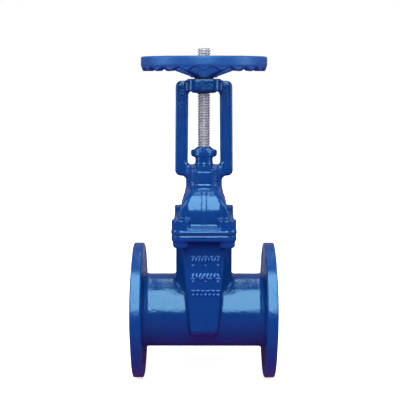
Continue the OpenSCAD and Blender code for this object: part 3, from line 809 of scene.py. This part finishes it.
def bonnet_hollow(x, y, z):
    """The space inside the dome, and the hole that the stem comes through."""
    wall = CASTING_WALL
    # Moved inward by the wall, the dome's outline leaves the wall's thickness all round
    inner = dome(np.abs(x) + wall, np.abs(y) + wall, z + wall, HOLLOW_HALF_Y, HOLLOW_FRONT_R,
                 HOLLOW_SPRING_Z, DOME_TOP_Z - 3, 5)
    inner = meet(inner, BONNET_Z - 3 - z, 0.5)
    hole = meet(disc(x, y, GLAND_R + GLAND_CLEAR), between(z, DOME_TOP_Z - 6, YOKE_Z + 4), 0.3)
    neck = meet(disc(x, y, STEM_R + 1), between(z, BONNET_Z, YOKE_Z), 0.3)
    return np.minimum(np.minimum(inner, hole), neck)


class VALVE_OT_bonnet(bpy.types.Operator):
    """Casts the bonnet with its dome, screw bosses and stuffing box"""

    bl_idname = "valve.bonnet"
    bl_label = "Bonnet"

    def execute(self, context):
        cell = context.scene.valve_castings.cell / MM * 0.9
        made = cast("bonnet_casting", bonnet, BONNET_REACH, BONNET_Z, YOKE_Z, cell)
        hollow = cast("hollow", bonnet_hollow, HOLLOW_REACH, BONNET_Z - 3, YOKE_Z + 4, 1.6)
        combine(made, hollow, "DIFFERENCE")
        finish_casting(made, "valve_body", "blue_coating", "bonnet")
        return {"FINISHED"}


# ---- Yoke ----


def lean_in(x, z):
    """Distance from the yoke's middle plane, measured as if its arms stood upright."""
    return np.abs(x) + ARM_DRAW * np.clip((z - FRAME_FOOT_Z) / FRAME_H, 0, 1)


def yoke_window(x, z):
    """The opening between arms, sill and head."""
    middle, half_h = (SILL_Z + WINDOW_TOP_Z) / 2, (WINDOW_TOP_Z - SILL_Z) / 2
    return rounded(lean_in(x, z), z - middle, WINDOW_HALF_X, half_h, WINDOW_CORNER)


def yoke_frame(x, y, z):
    """The window frame: two arms that lean in a little, a sill and a head."""
    middle = (FRAME_FOOT_Z + FRAME_TOP_Z) / 2
    outer = rounded(lean_in(x, z), z - middle, WINDOW_HALF_X + ARM_W, FRAME_H / 2, YOKE_CORNER)
    return meet(np.maximum(outer, -yoke_window(x, z)), np.abs(y) - ARM_HALF_DEPTH, 5)


def yoke(x, y, z, fillet):
    """Frame, collar, ears and bearing head in one casting."""
    collar = meet(disc(x, y, COLLAR_R), between(z, YOKE_Z - 1, SILL_Z), 2)
    casting = join(yoke_frame(x, y, z), collar, fillet)
    ear = meet(ear_plan(x, y), between(z, YOKE_Z - 1, EAR_TOP_Z), 1.8)
    casting = join(casting, ear, 2.5)
    head = meet(rounded(x, y, HEAD_R - 1, HEAD_R, 12), between(z, WINDOW_TOP_Z, HEAD_TOP_Z), 2.5)
    casting = join(casting, head, 6)
    casting = meet(casting, z - HEAD_TOP_Z, 1)
    casting = cut(casting, yoke_window(x, z), 1)
    # The lip round the stem nut's lower end
    lip = meet(disc(x, y, NUT_LIP_R), between(z, WINDOW_TOP_Z - 2, WINDOW_TOP_Z + 2), 1)
    return meet(join(casting, lip, 1), YOKE_Z - z, 0.8)


class VALVE_OT_yoke(bpy.types.Operator):
    """Casts the yoke with its window, ears and bearing head"""

    bl_idname = "valve.yoke"
    bl_label = "Yoke"

    def execute(self, context):
        sizes = context.scene.valve_castings
        fillet = sizes.yoke_fillet / MM
        made = cast("yoke_casting", lambda x, y, z: yoke(x, y, z, fillet), YOKE_REACH,
                    YOKE_Z, HEAD_TOP_Z, sizes.cell / MM * 0.85)
        drill(made, [(YOKE_Z - 2, SILL_Z + 2, GLAND_R + GLAND_CLEAR)])
        nut_low, nut_high = corners("stem_nut")
        seat_z = corners("nut_retainer")[0].z - NUT_COLLAR_T
        nut_r = (nut_high.x - nut_low.x) / 2
        drill(made, [(WINDOW_TOP_Z - 4, seat_z, NUT_FOOT_R), (seat_z, HEAD_TOP_Z + 2, nut_r + 0.5)])
        finish_casting(made, "valve_body", "blue_coating", "yoke")
        return {"FINISHED"}


# ---- Gland ----


def gland(x, y, z):
    """The gland: a thick oval flange that slopes up to the stem, and a neck below."""
    reach = GLAND_HALF_X - 8
    along = np.clip(np.abs(x), 0, reach)
    width = GLAND_R + 2 - (GLAND_R - 6) * along / reach
    r = np.hypot(x, y)
    crown = GLAND_TOP_Z + GLAND_CROWN + np.maximum(GLAND_CONE_H - 0.8 * (r - STEM_R), 0)
    under = GLAND_FLANGE_Z - 1 + 0.3 * (r - GLAND_R)
    flange = meet(np.hypot(np.abs(x) - along, y) - width, between(z, under, crown), 3.5)
    neck = meet(r - GLAND_R, between(z, GLAND_LOW.z, GLAND_TOP_Z - 1), 0.5)
    band = meet(r - GLAND_R - 0.8, between(z, SILL_Z - 2, SILL_Z + 3.5), 0.8)
    return meet(join(join(flange, neck, 1.5), band, 1), z - GLAND_HIGH.z, 0.8)


class VALVE_OT_gland(bpy.types.Operator):
    """Casts the gland that presses on the packing"""

    bl_idname = "valve.gland"
    bl_label = "Gland"

    def execute(self, context):
        made = cast("gland_casting", gland, GLAND_REACH, GLAND_LOW.z, GLAND_HIGH.z, 0.55)
        drill(made, [(GLAND_LOW.z - 2, GLAND_HIGH.z + 2, STEM_R + STEM_CLEAR)])
        finish_casting(made, "valve_body", "blue_coating", "gland_follower")
        return {"FINISHED"}


# ---- Handwheel ----


def handwheel(x, y, z):
    """Smooth rim with finger lobes under it, five spokes that climb to it, and the hub."""
    r = np.hypot(x, y)
    angle = np.arctan2(y, x)
    band = rounded(r - WHEEL_R + RIM_W / 2, z - RIM_TOP_Z + BAND_H / 2, RIM_W / 2, BAND_H / 2, 3.5)
    lobe = LOBE_DEPTH * (0.5 - 0.5 * np.cos(LOBES * (angle + math.pi / 2))) ** 0.8
    foot = RIM_TOP_Z - RIM_H - 1.5 + lobe
    draft = LOBE_DRAFT * np.maximum(RIM_TOP_Z - BAND_H + 2 - z, 0)
    lobes = meet(np.abs(r - WHEEL_R + RIM_W / 2) - RIM_W / 2 + 0.6 + draft,
                 between(z, foot, RIM_TOP_Z - 6), 2.2)
    rim = join(band, lobes * 0.9, 1)
    hub = meet(r - HUB_R, between(z, SPOKE_ROOT_Z - 1, HUB_TOP_Z), 1.5)
    fifth = 2 * math.pi / SPOKES
    turn = np.mod(angle - math.pi / 2 + fifth / 2, fifth) - fifth / 2
    along, across = r * np.cos(turn), r * np.sin(turn)
    t = np.clip((along - HUB_R + 3) / (WHEEL_R - RIM_W + 4 - HUB_R + 3), 0, 1)
    low = SPOKE_ROOT_Z + (RIM_TOP_Z - 8 - SPOKE_ROOT_Z) * t
    high = HUB_TOP_Z - 3 + (RIM_TOP_Z - 1 - HUB_TOP_Z + 3) * t
    spoke = rounded(across, z - (low + high) / 2, SPOKE_HALF_W - SPOKE_TAPER * t, (high - low) / 2, 3)
    spoke = meet(spoke, between(along, 10, WHEEL_R - 6), 1)
    wheel = join(join(rim, spoke, 5), hub, 4)
    wheel = meet(wheel, SPOKE_ROOT_Z - z, 0.5)
    wheel = cut(wheel, meet(disc(x, y, HUB_POCKET_R), z - HUB_Z, 0.5), 0.8)
    return meet(wheel, z - np.where(r < 40, HUB_TOP_Z, RIM_TOP_Z), 0.5)


class VALVE_OT_handwheel(bpy.types.Operator):
    """Casts the handwheel with its lobed rim and five spokes"""

    bl_idname = "valve.handwheel"
    bl_label = "Handwheel"

    def execute(self, context):
        cell = context.scene.valve_castings.cell / MM * 0.95
        made = cast(
            "handwheel_casting", handwheel, (WHEEL_R, WHEEL_R), SPOKE_ROOT_Z, RIM_TOP_Z, cell)
        drill(made, [(HUB_Z - 3, HUB_TOP_Z + 3, HUB_BORE_R)])
        finish_casting(made, "turning_wheel", "wheel_coating", "handwheel")
        return {"FINISHED"}


# ---- Stem ----


def thread_tree():
    """A bar with a left-hand trapezoidal thread and a bevelled end, upright on the origin."""
    tree, given = new_tree(
        "threaded_bar", ("Radius", "Depth", "Lead", "Length", "Bevel"), ("Rows",))
    bar = add(tree, "GeometryNodeMeshCylinder", {
        "Vertices": THREAD_SIDES, "Side Segments": given["Rows"], "Radius": given["Radius"],
        "Depth": given["Length"]})
    spot = add(tree, "ShaderNodeSeparateXYZ", {0: add(tree, "GeometryNodeInputPosition")}).outputs
    half = add(tree, "ShaderNodeMath", {0: given["Length"], 1: 2.0}, operation="DIVIDE")
    up = add(tree, "ShaderNodeMath", {0: spot["Z"], 1: half}, operation="ADD")
    angle = add(tree, "ShaderNodeMath", {0: spot["Y"], 1: spot["X"]}, operation="ARCTAN2")
    part = add(tree, "ShaderNodeMath", {0: angle, 1: 2 * math.pi}, operation="DIVIDE")
    turns = add(tree, "ShaderNodeMath", {0: up, 1: given["Lead"]}, operation="DIVIDE")
    phase = add(tree, "ShaderNodeMath", {0: turns, 1: part}, operation="ADD")
    wave = add(tree, "ShaderNodeMath", {0: phase, 1: 0.5}, operation="PINGPONG")
    groove = add(tree, "ShaderNodeMapRange", {
        "Value": wave, "From Min": CREST_END, "From Max": ROOT_START}, interpolation_type="SMOOTHSTEP")
    # The groove runs out over the last turn before the plain shank
    fade = add(tree, "ShaderNodeMapRange", {"Value": up, "From Min": 0.0, "From Max": given["Lead"]})
    deep = add(tree, "ShaderNodeMath", {0: groove, 1: fade}, operation="MULTIPLY")
    sunk = add(tree, "ShaderNodeMath", {0: deep, 1: given["Depth"]}, operation="MULTIPLY")
    radius = add(tree, "ShaderNodeMath", {0: given["Radius"], 1: sunk}, operation="SUBTRACT")
    to_end = add(tree, "ShaderNodeMath", {0: given["Length"], 1: up}, operation="SUBTRACT")
    tip = add(tree, "ShaderNodeMath", {0: given["Radius"], 1: given["Bevel"]}, operation="SUBTRACT")
    bevel = add(tree, "ShaderNodeMath", {0: tip, 1: to_end}, operation="ADD")
    least = add(tree, "ShaderNodeMath", {0: radius, 1: bevel}, operation="MINIMUM")
    scale = add(tree, "ShaderNodeMath", {0: least, 1: given["Radius"]}, operation="DIVIDE")
    x = add(tree, "ShaderNodeMath", {0: spot["X"], 1: scale}, operation="MULTIPLY")
    y = add(tree, "ShaderNodeMath", {0: spot["Y"], 1: scale}, operation="MULTIPLY")
    moved = add(tree, "ShaderNodeCombineXYZ", {0: x, 1: y, 2: up})
    threaded = add(tree, "GeometryNodeSetPosition", {"Geometry": bar, "Position": moved})
    return end_tree(tree, given, threaded)


class VALVE_OT_stem(bpy.types.Operator):
    """Turns the stem: a plain shank through the packing and a threaded upper end"""

    bl_idname = "valve.stem"
    bl_label = "Stem"

    def execute(self, context):
        thread = context.scene.valve_thread
        steel = finish("stainless_steel")
        made = grow("stem_bar", thread_tree(), {
            "Radius": STEM_R * MM, "Depth": thread.depth, "Lead": thread.lead,
            "Length": thread.length, "Bevel": THREAD_BEVEL * MM, "Material": steel,
            "Rows": round(thread.length / thread.lead * THREAD_ROWS)})
        made.data.transform(Matrix.Translation((STEM_X * MM, 0, STEM_HIGH.z * MM - thread.length)))
        end = STEM_HIGH.z - thread.length / MM + 0.5
        shank = lathe("shank", [(STEM_LOW.z, 0), (STEM_LOW.z, STEM_R - 1), (STEM_LOW.z + 1, STEM_R),
                                (end, STEM_R), (end, 0)], 96)
        shank.data.transform(TO_FRAME)
        combine(made, shank, "UNION")
        smooth(made, 50)
        place(made, steel, "rising_stem", "stainless_steel", "stem")
        return {"FINISHED"}


# ---- Screws ----


def socket_screw_tree():
    """Socket head screws at the corners of a rectangle."""
    tree, given = new_tree("socket_screws", (
        "Spread X", "Spread Y", "Head Radius", "Head Height", "Socket Width"))
    spots = add(tree, "GeometryNodeMeshGrid", {
        "Size X": given["Spread X"], "Size Y": given["Spread Y"], "Vertices X": 2, "Vertices Y": 2})
    head = add(tree, "GeometryNodeMeshCylinder", {
        "Vertices": 64, "Radius": given["Head Radius"], "Depth": given["Head Height"]})
    inner = add(tree, "ShaderNodeMath", {
        0: given["Head Radius"], 1: SCREW_EDGE * MM}, operation="SUBTRACT")
    rim = add(tree, "GeometryNodeMeshCone", {
        "Vertices": 64, "Radius Top": inner, "Radius Bottom": given["Head Radius"],
        "Depth": SCREW_EDGE * MM})
    top = add(tree, "ShaderNodeMath", {0: given["Head Height"], 1: 0.5}, operation="MULTIPLY")
    lift = add(tree, "ShaderNodeCombineXYZ", {2: top})
    rim_up = add(tree, "GeometryNodeTransform", {"Geometry": rim, "Translation": lift})
    across = add(tree, "ShaderNodeMath", {
        0: given["Socket Width"], 1: HEX_FLATS}, operation="DIVIDE")
    key = add(tree, "GeometryNodeMeshCylinder", {
        "Vertices": 6, "Radius": across, "Depth": given["Head Height"]})
    key_up = add(tree, "GeometryNodeTransform", {"Geometry": key, "Translation": lift})
    whole = add(tree, "GeometryNodeMeshBoolean", {"Mesh 2": head}, operation="UNION",
                solver="MANIFOLD")
    feed(tree, whole, {"Mesh 2": rim_up})
    hollow = add(tree, "GeometryNodeMeshBoolean", {"Mesh 1": whole, "Mesh 2": key_up},
                 operation="DIFFERENCE", solver="MANIFOLD")
    screws = add(tree, "GeometryNodeInstanceOnPoints", {"Points": spots, "Instance": hollow})
    return end_tree(tree, given, screws)


def ear_bolt_tree():
    """Hexagon bolt heads with washers, at both ends of a line across the pipe."""
    tree, given = new_tree("ear_bolts", (
        "Spread", "Width", "Height", "Washer Radius", "Washer Height"))
    half = add(tree, "ShaderNodeMath", {0: given["Spread"], 1: -0.5}, operation="MULTIPLY")
    ends = add(tree, "GeometryNodeMeshLine", {
        "Count": 2, "Start Location": add(tree, "ShaderNodeCombineXYZ", {1: half}),
        "Offset": add(tree, "ShaderNodeCombineXYZ", {1: given["Spread"]})})
    corner_r = add(tree, "ShaderNodeMath", {0: given["Width"], 1: HEX_FLATS}, operation="DIVIDE")
    prism = add(tree, "GeometryNodeMeshCylinder", {
        "Vertices": 6, "Radius": corner_r, "Depth": given["Height"]})
    # A cone at about 30 degrees to the flat breaks the hexagon's corners
    top_r = add(tree, "ShaderNodeMath", {
        0: given["Width"], 1: BOLT_FLAT_R}, operation="MULTIPLY")
    foot_r = add(tree, "ShaderNodeMath", {
        0: given["Width"], 1: BOLT_FLAT_R + 1}, operation="MULTIPLY")
    cone_h = add(tree, "ShaderNodeMath", {
        0: given["Width"], 1: BOLT_BEVEL_RISE}, operation="MULTIPLY")
    bevel = add(tree, "GeometryNodeMeshCone", {
        "Vertices": 48, "Radius Top": top_r, "Radius Bottom": foot_r, "Depth": cone_h})
    middle = add(tree, "ShaderNodeMath", {0: given["Height"], 1: 0.5}, operation="MULTIPLY")
    cone_z = add(tree, "ShaderNodeMath", {0: middle, 1: cone_h}, operation="SUBTRACT")
    bevel_down = add(tree, "GeometryNodeTransform", {
        "Geometry": bevel, "Translation": add(tree, "ShaderNodeCombineXYZ", {2: cone_z})})
    head = add(tree, "GeometryNodeMeshBoolean", {"Mesh 2": prism}, operation="INTERSECT",
               solver="MANIFOLD")
    feed(tree, head, {"Mesh 2": bevel_down})
    washer = add(tree, "GeometryNodeMeshCylinder", {
        "Vertices": 64, "Radius": given["Washer Radius"], "Depth": given["Washer Height"]})
    head_z = add(tree, "ShaderNodeMath", {0: middle, 1: given["Washer Height"]}, operation="ADD")
    head_up = add(tree, "GeometryNodeTransform", {
        "Geometry": head, "Translation": add(tree, "ShaderNodeCombineXYZ", {2: head_z})})
    washer_z = add(tree, "ShaderNodeMath", {
        0: given["Washer Height"], 1: 0.5}, operation="MULTIPLY")
    washer_up = add(tree, "GeometryNodeTransform", {
        "Geometry": washer, "Translation": add(tree, "ShaderNodeCombineXYZ", {2: washer_z})})
    both = add(tree, "GeometryNodeJoinGeometry", {0: head_up})
    feed(tree, both, {0: washer_up})
    bolts = add(tree, "GeometryNodeInstanceOnPoints", {"Points": ends, "Instance": both})
    return end_tree(tree, given, bolts)


class VALVE_OT_screws(bpy.types.Operator):
    """Sets the socket screws in the bonnet and the coated bolts in the yoke's ears"""

    bl_idname = "valve.screws"
    bl_label = "Screws"

    def execute(self, context):
        sizes = context.scene.valve_screws
        paint = finish("blue_coating")
        height = (SINK_H - 1) * MM
        screws = grow("joint_screws", socket_screw_tree(), {
            "Spread X": 2 * SCREW_X * MM, "Spread Y": 2 * SCREW_Y * MM,
            "Head Radius": sizes.head_radius, "Head Height": height - SCREW_EDGE * MM,
            "Socket Width": sizes.socket_width, "Material": paint})
        bolts = grow("ear_bolts", ear_bolt_tree(), {
            "Spread": 2 * (EAR_Y + 1) * MM, "Width": sizes.bolt_width,
            "Height": sizes.bolt_height, "Washer Radius": EAR_WASHER_R * MM,
            "Washer Height": EAR_WASHER_T * MM, "Material": paint})
        seats = {screws: (BOSS_TOP_Z - SINK_H) * MM + height / 2, bolts: (EAR_TOP_Z - 0.3) * MM}
        for made, seat in seats.items():
            made.data.transform(Matrix.Translation((STEM_X * MM, 0, seat)))
            smooth(made, 30)
            place(made, paint, "valve_body", "blue_coating")
        return {"FINISHED"}


# ---- Cast marks ----


def mark_row_tree():
    """A row of raised strokes or dots of random height and lean."""
    tree, given = new_tree(
        "mark_row", ("Spacing", "Height", "Stroke", "Proud", "Lean"), ("Count", "Seed"))
    step = add(tree, "ShaderNodeCombineXYZ", {0: given["Spacing"]})
    line = add(tree, "GeometryNodeMeshLine", {"Count": given["Count"], "Offset": step})
    stroke = add(tree, "GeometryNodeMeshUVSphere", {"Segments": 20, "Rings": 12, "Radius": 1.0})
    lean = add(tree, "FunctionNodeRandomValue", {"Min": -1.0, "Max": 1.0, "Seed": given["Seed"]})
    angle = add(tree, "ShaderNodeMath", {0: lean, 1: given["Lean"]}, operation="MULTIPLY")
    # The strokes face up a little, as the pattern's draft leaves them
    tilt = add(tree, "ShaderNodeCombineXYZ", {0: -0.3, 1: angle})
    other_seed = add(tree, "ShaderNodeMath", {0: given["Seed"], 1: 7.0}, operation="ADD")
    tall = add(tree, "FunctionNodeRandomValue", {"Min": 0.55, "Max": 1.0, "Seed": other_seed})
    height = add(tree, "ShaderNodeMath", {0: tall, 1: given["Height"]}, operation="MULTIPLY")
    size = add(tree, "ShaderNodeCombineXYZ", {0: given["Stroke"], 1: given["Proud"], 2: height})
    strokes = add(tree, "GeometryNodeInstanceOnPoints", {
        "Points": line, "Instance": stroke, "Scale": size,
        "Rotation": add(tree, "FunctionNodeEulerToRotation", {0: tilt})})
    return end_tree(tree, given, strokes)


class VALVE_OT_cast_marks(bpy.types.Operator):
    """Raises three rows of plain strokes and dots on the front of the pocket"""

    bl_idname = "valve.cast_marks"
    bl_label = "Cast Marks"

    def execute(self, context):
        tree = mark_row_tree()
        # Height of the row, number of strokes, half their height, half their width, lean, seed
        rows = [(96.5, 9, 4.6, 1.5, 0.5, 3), (100.5, 5, 1.3, 4.0, 0.1, 4), (87, 3, 1.7, 1.9, 0.0, 5),
                (71.5, 8, 6.0, 1.8, 0.7, 11), (66.5, 4, 1.5, 4.4, 0.2, 6), (62, 3, 1.7, 2.2, 0.0, 2),
                (47.5, 6, 1.4, 3.6, 0.15, 7), (41.5, 7, 2.1, 1.9, 0.3, 9)]
        marks = None
        for z, count, height, stroke, lean, seed in rows:
            # The strokes take the paler coating, a painted highlight on their tops
            row = grow("cast_marks", tree, {
                "Count": count, "Spacing": MARK_WIDTH / (count - 1) * MM, "Height": height * MM,
                "Stroke": stroke * MM, "Proud": MARK_PROUD * MM, "Lean": lean, "Seed": seed,
                "Material": finish("mark_coating_painted_highlight")})
            start = (STEM_X - MARK_WIDTH / 2 + 2.5) * MM
            row.data.transform(Matrix.Translation((start, -POCKET_HALF_Y * MM, z * MM)))
            marks = combine(marks, row, "UNION") if marks else row
        smooth(marks)
        place(marks, finish("mark_coating_painted_highlight"), "valve_body", "blue_coating")
        return {"FINISHED"}


# ---- Small parts ----


class VALVE_OT_small_parts(bpy.types.Operator):
    """Finishes the pieces that keep their machined shape"""

    bl_idname = "valve.small_parts"
    bl_label = "Small Parts"

    def execute(self, context):
        for row in frame["record"]["subparts"]:
            node = frame["nodes"][row["node"]]
            node.data.materials.clear()
            # The nipple was fitted before the yoke was coated
            painted = row["node"] == "grease_nipple"
            node.data.materials.append(finish("blue_coating" if painted else row["material_slot"]))
        return {"FINISHED"}


# ---- Stage ----


def softbox(name, elevation, azimuth, distance, size, radiance):
    """A soft rectangular lamp at these angles from the bonnet. The camera doesn't see it."""
    lamp = bpy.data.lights.new(name, "AREA")
    lamp.shape = "RECTANGLE"
    lamp.size, lamp.size_y = size
    lamp.energy = radiance * math.pi * size[0] * size[1]
    made = link_new(name, lamp)
    up, around = math.radians(elevation), math.radians(azimuth)
    way = Vector((math.cos(up) * math.sin(around), -math.cos(up) * math.cos(around), math.sin(up)))
    made.location = Vector((STEM_X * MM, 0, BONNET_Z * MM)) + way * distance
    made.rotation_euler = (-way).to_track_quat("-Z", "Y").to_euler()
    made.visible_camera = False
    return made


def floor_material(look):
    """White to the camera, with the valve's shadow. Gloss shows it dark, and pale far behind."""
    material, tree, shader, where = new_material("matt_white_sweep")
    ray = add(tree, "ShaderNodeLightPath").outputs
    away = add(tree, "ShaderNodeVectorMath", {0: where}, operation="LENGTH")
    depth = add(tree, "ShaderNodeSeparateXYZ", {0: where}).outputs["Y"]
    far, behind = (add(tree, "ShaderNodeMapRange", {
        "Value": distance, "From Min": FLOOR_NEAR, "From Max": FLOOR_FAR},
        interpolation_type="SMOOTHSTEP") for distance in (away, depth))
    off = add(tree, "ShaderNodeMath", {0: depth, 1: PATCH_AHEAD}, operation="ADD")
    beside = add(tree, "ShaderNodeMath", {0: off}, operation="ABSOLUTE")
    near = add(tree, "ShaderNodeMapRange", {
        "Value": beside, "From Min": PATCH_INNER, "From Max": PATCH_OUTER, "To Min": 1.0,
        "To Max": 0.0},
        interpolation_type="SMOOTHSTEP")
    fleck = add(tree, "ShaderNodeTexNoise", {"Vector": where, "Scale": 40.0})
    pale = add(tree, "ShaderNodeMix", {
        "Factor": fleck, 6: linear(look.floor_colour), 7: linear(look.floor_colour, 0.98)},
        data_type="RGBA")
    patch = add(tree, "ShaderNodeMix", {
        "Factor": near, 6: linear(look.floor_dark), 7: linear(look.floor_near)}, data_type="RGBA")
    mirrored = add(tree, "ShaderNodeMix", {
        "Factor": behind, 6: patch, 7: linear(look.floor_far)}, data_type="RGBA")
    unseen = add(tree, "ShaderNodeMix", {
        "Factor": ray["Is Glossy Ray"], 6: linear(look.floor_fill), 7: mirrored}, data_type="RGBA")
    tone = add(tree, "ShaderNodeMix", {
        "Factor": ray["Is Camera Ray"], 6: unseen, 7: pale}, data_type="RGBA")
    glow = add(tree, "ShaderNodeMapRange", {"Value": far, "To Min": FLOOR_GLOW, "To Max": 1.0})
    lit = add(tree, "ShaderNodeMath", {0: ray["Is Camera Ray"], 1: glow}, operation="MULTIPLY")
    feed(tree, shader, {
        "Base Color": tone, "Emission Strength": lit, "Emission Color": (1, 1, 1, 1),
        "Roughness": 0.9, "Specular IOR Level": 0.0})
    return material


def room_world(look):
    """A dim room with a white wall behind the valve. The camera sees white all round."""
    world = bpy.data.worlds.new("white_room")
    world.use_nodes = True
    tree = world.node_tree
    way = add(tree, "ShaderNodeSeparateXYZ", {
        0: add(tree, "ShaderNodeTexCoord").outputs["Generated"]}).outputs
    wall = add(tree, "ShaderNodeMapRange", {
        "Value": way["Y"], "From Min": 0.25, "From Max": 0.75, "To Max": look.backdrop_level})
    ray = add(tree, "ShaderNodeLightPath").outputs
    seen = add(tree, "ShaderNodeMath", {0: wall, 1: ray["Is Camera Ray"]}, operation="MAXIMUM")
    white = add(tree, "ShaderNodeMath", {
        0: seen, 1: ray["Is Transmission Ray"]}, operation="MAXIMUM")
    tone = add(tree, "ShaderNodeMix", {
        "Factor": white, 6: linear(look.room_colour), 7: (1, 1, 1, 1)}, data_type="RGBA")
    feed(tree, tree.nodes["Background"], {"Color": tone})
    return world


class VALVE_OT_stage(bpy.types.Operator):
    """Sets the floor, the soft lamps, the room and the camera"""

    bl_idname = "valve.stage"
    bl_label = "Stage"

    def execute(self, context):
        studio = context.scene.valve_studio
        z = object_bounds()[0].z - FLOOR_GAP
        half = FLOOR_HALF
        floor = new_object("floor", [(-half, -half, z), (half, -half, z), (half, half, z),
                                     (-half, half, z)], [(0, 1, 2, 3)])
        floor.data.materials.append(floor_material(studio))
        floor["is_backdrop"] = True
        context.scene.world = room_world(studio)
        softbox("key_softbox", 47.5, 0, 5.0, (2.0, 5.66), studio.key_level)
        # The foot of the key is there for the gloss alone, so the wheel shades the yoke's head
        foot = softbox("key_foot", 13, 0, 5.0, (2.0, 0.9), studio.key_level)
        foot.visible_diffuse = False
        softbox("top_softbox", 107, 0, 2.0, (0.28, 1.5), studio.top_level)
        for name, azimuth in (("left_strip", -76), ("right_strip", 76)):
            softbox(name, 25, azimuth, 1.7, (0.7, 1.6), studio.side_level)

        camera = link_new("camera", bpy.data.cameras.new("camera"))
        camera.data.lens = studio.lens
        camera.data.sensor_width = 36
        camera.location = (STEM_X * MM + CAMERA_X, -CAMERA_AWAY, CAMERA_UP)
        camera.rotation_euler = (math.radians(90) - CAMERA_TILT, 0, CAMERA_TURN)
        context.scene.camera = camera
        context.scene.view_settings.view_transform = "Standard"
        return {"FINISHED"}


# ---- Panel and registration ----

STEPS = ("small_parts", "body", "bonnet", "yoke", "gland", "handwheel", "stem", "screws",
         "cast_marks", "stage")
GROUPS = {"valve_castings": CastingSizes, "valve_thread": ThreadSizes,
          "valve_screws": ScrewSizes, "valve_coating": CoatingLook, "valve_studio": StudioLook}


class VALVE_PT_panel(bpy.types.Panel):
    """Sizes, finishes and steps of the gate valve"""

    bl_idname = "VALVE_PT_panel"
    bl_label = "Gate Valve"
    bl_space_type = "VIEW_3D"
    bl_region_type = "UI"
    bl_category = "Valve"

    def draw(self, context):
        for name, group in GROUPS.items():
            box = self.layout.box()
            box.label(text=group.__doc__.strip("."))
            for field in group.__annotations__:
                box.prop(getattr(context.scene, name), field)
        for step in STEPS:
            self.layout.operator(f"valve.{step}")


CLASSES = (*GROUPS.values(), VALVE_OT_body, VALVE_OT_bonnet, VALVE_OT_yoke, VALVE_OT_gland,
           VALVE_OT_handwheel, VALVE_OT_stem, VALVE_OT_screws, VALVE_OT_cast_marks,
           VALVE_OT_small_parts, VALVE_OT_stage, VALVE_PT_panel)


def register():
    for cls in CLASSES:
        bpy.utils.register_class(cls)
    for name, group in GROUPS.items():
        setattr(bpy.types.Scene, name, bpy.props.PointerProperty(type=group))


def unregister():
    for name in GROUPS:
        delattr(bpy.types.Scene, name)
    for cls in reversed(CLASSES):
        bpy.utils.unregister_class(cls)


def main():
    """Makes the valve step by step."""
    register()
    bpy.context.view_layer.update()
    for step in STEPS:
        getattr(bpy.ops.valve, step)()


if __name__ == "__main__":
    main()
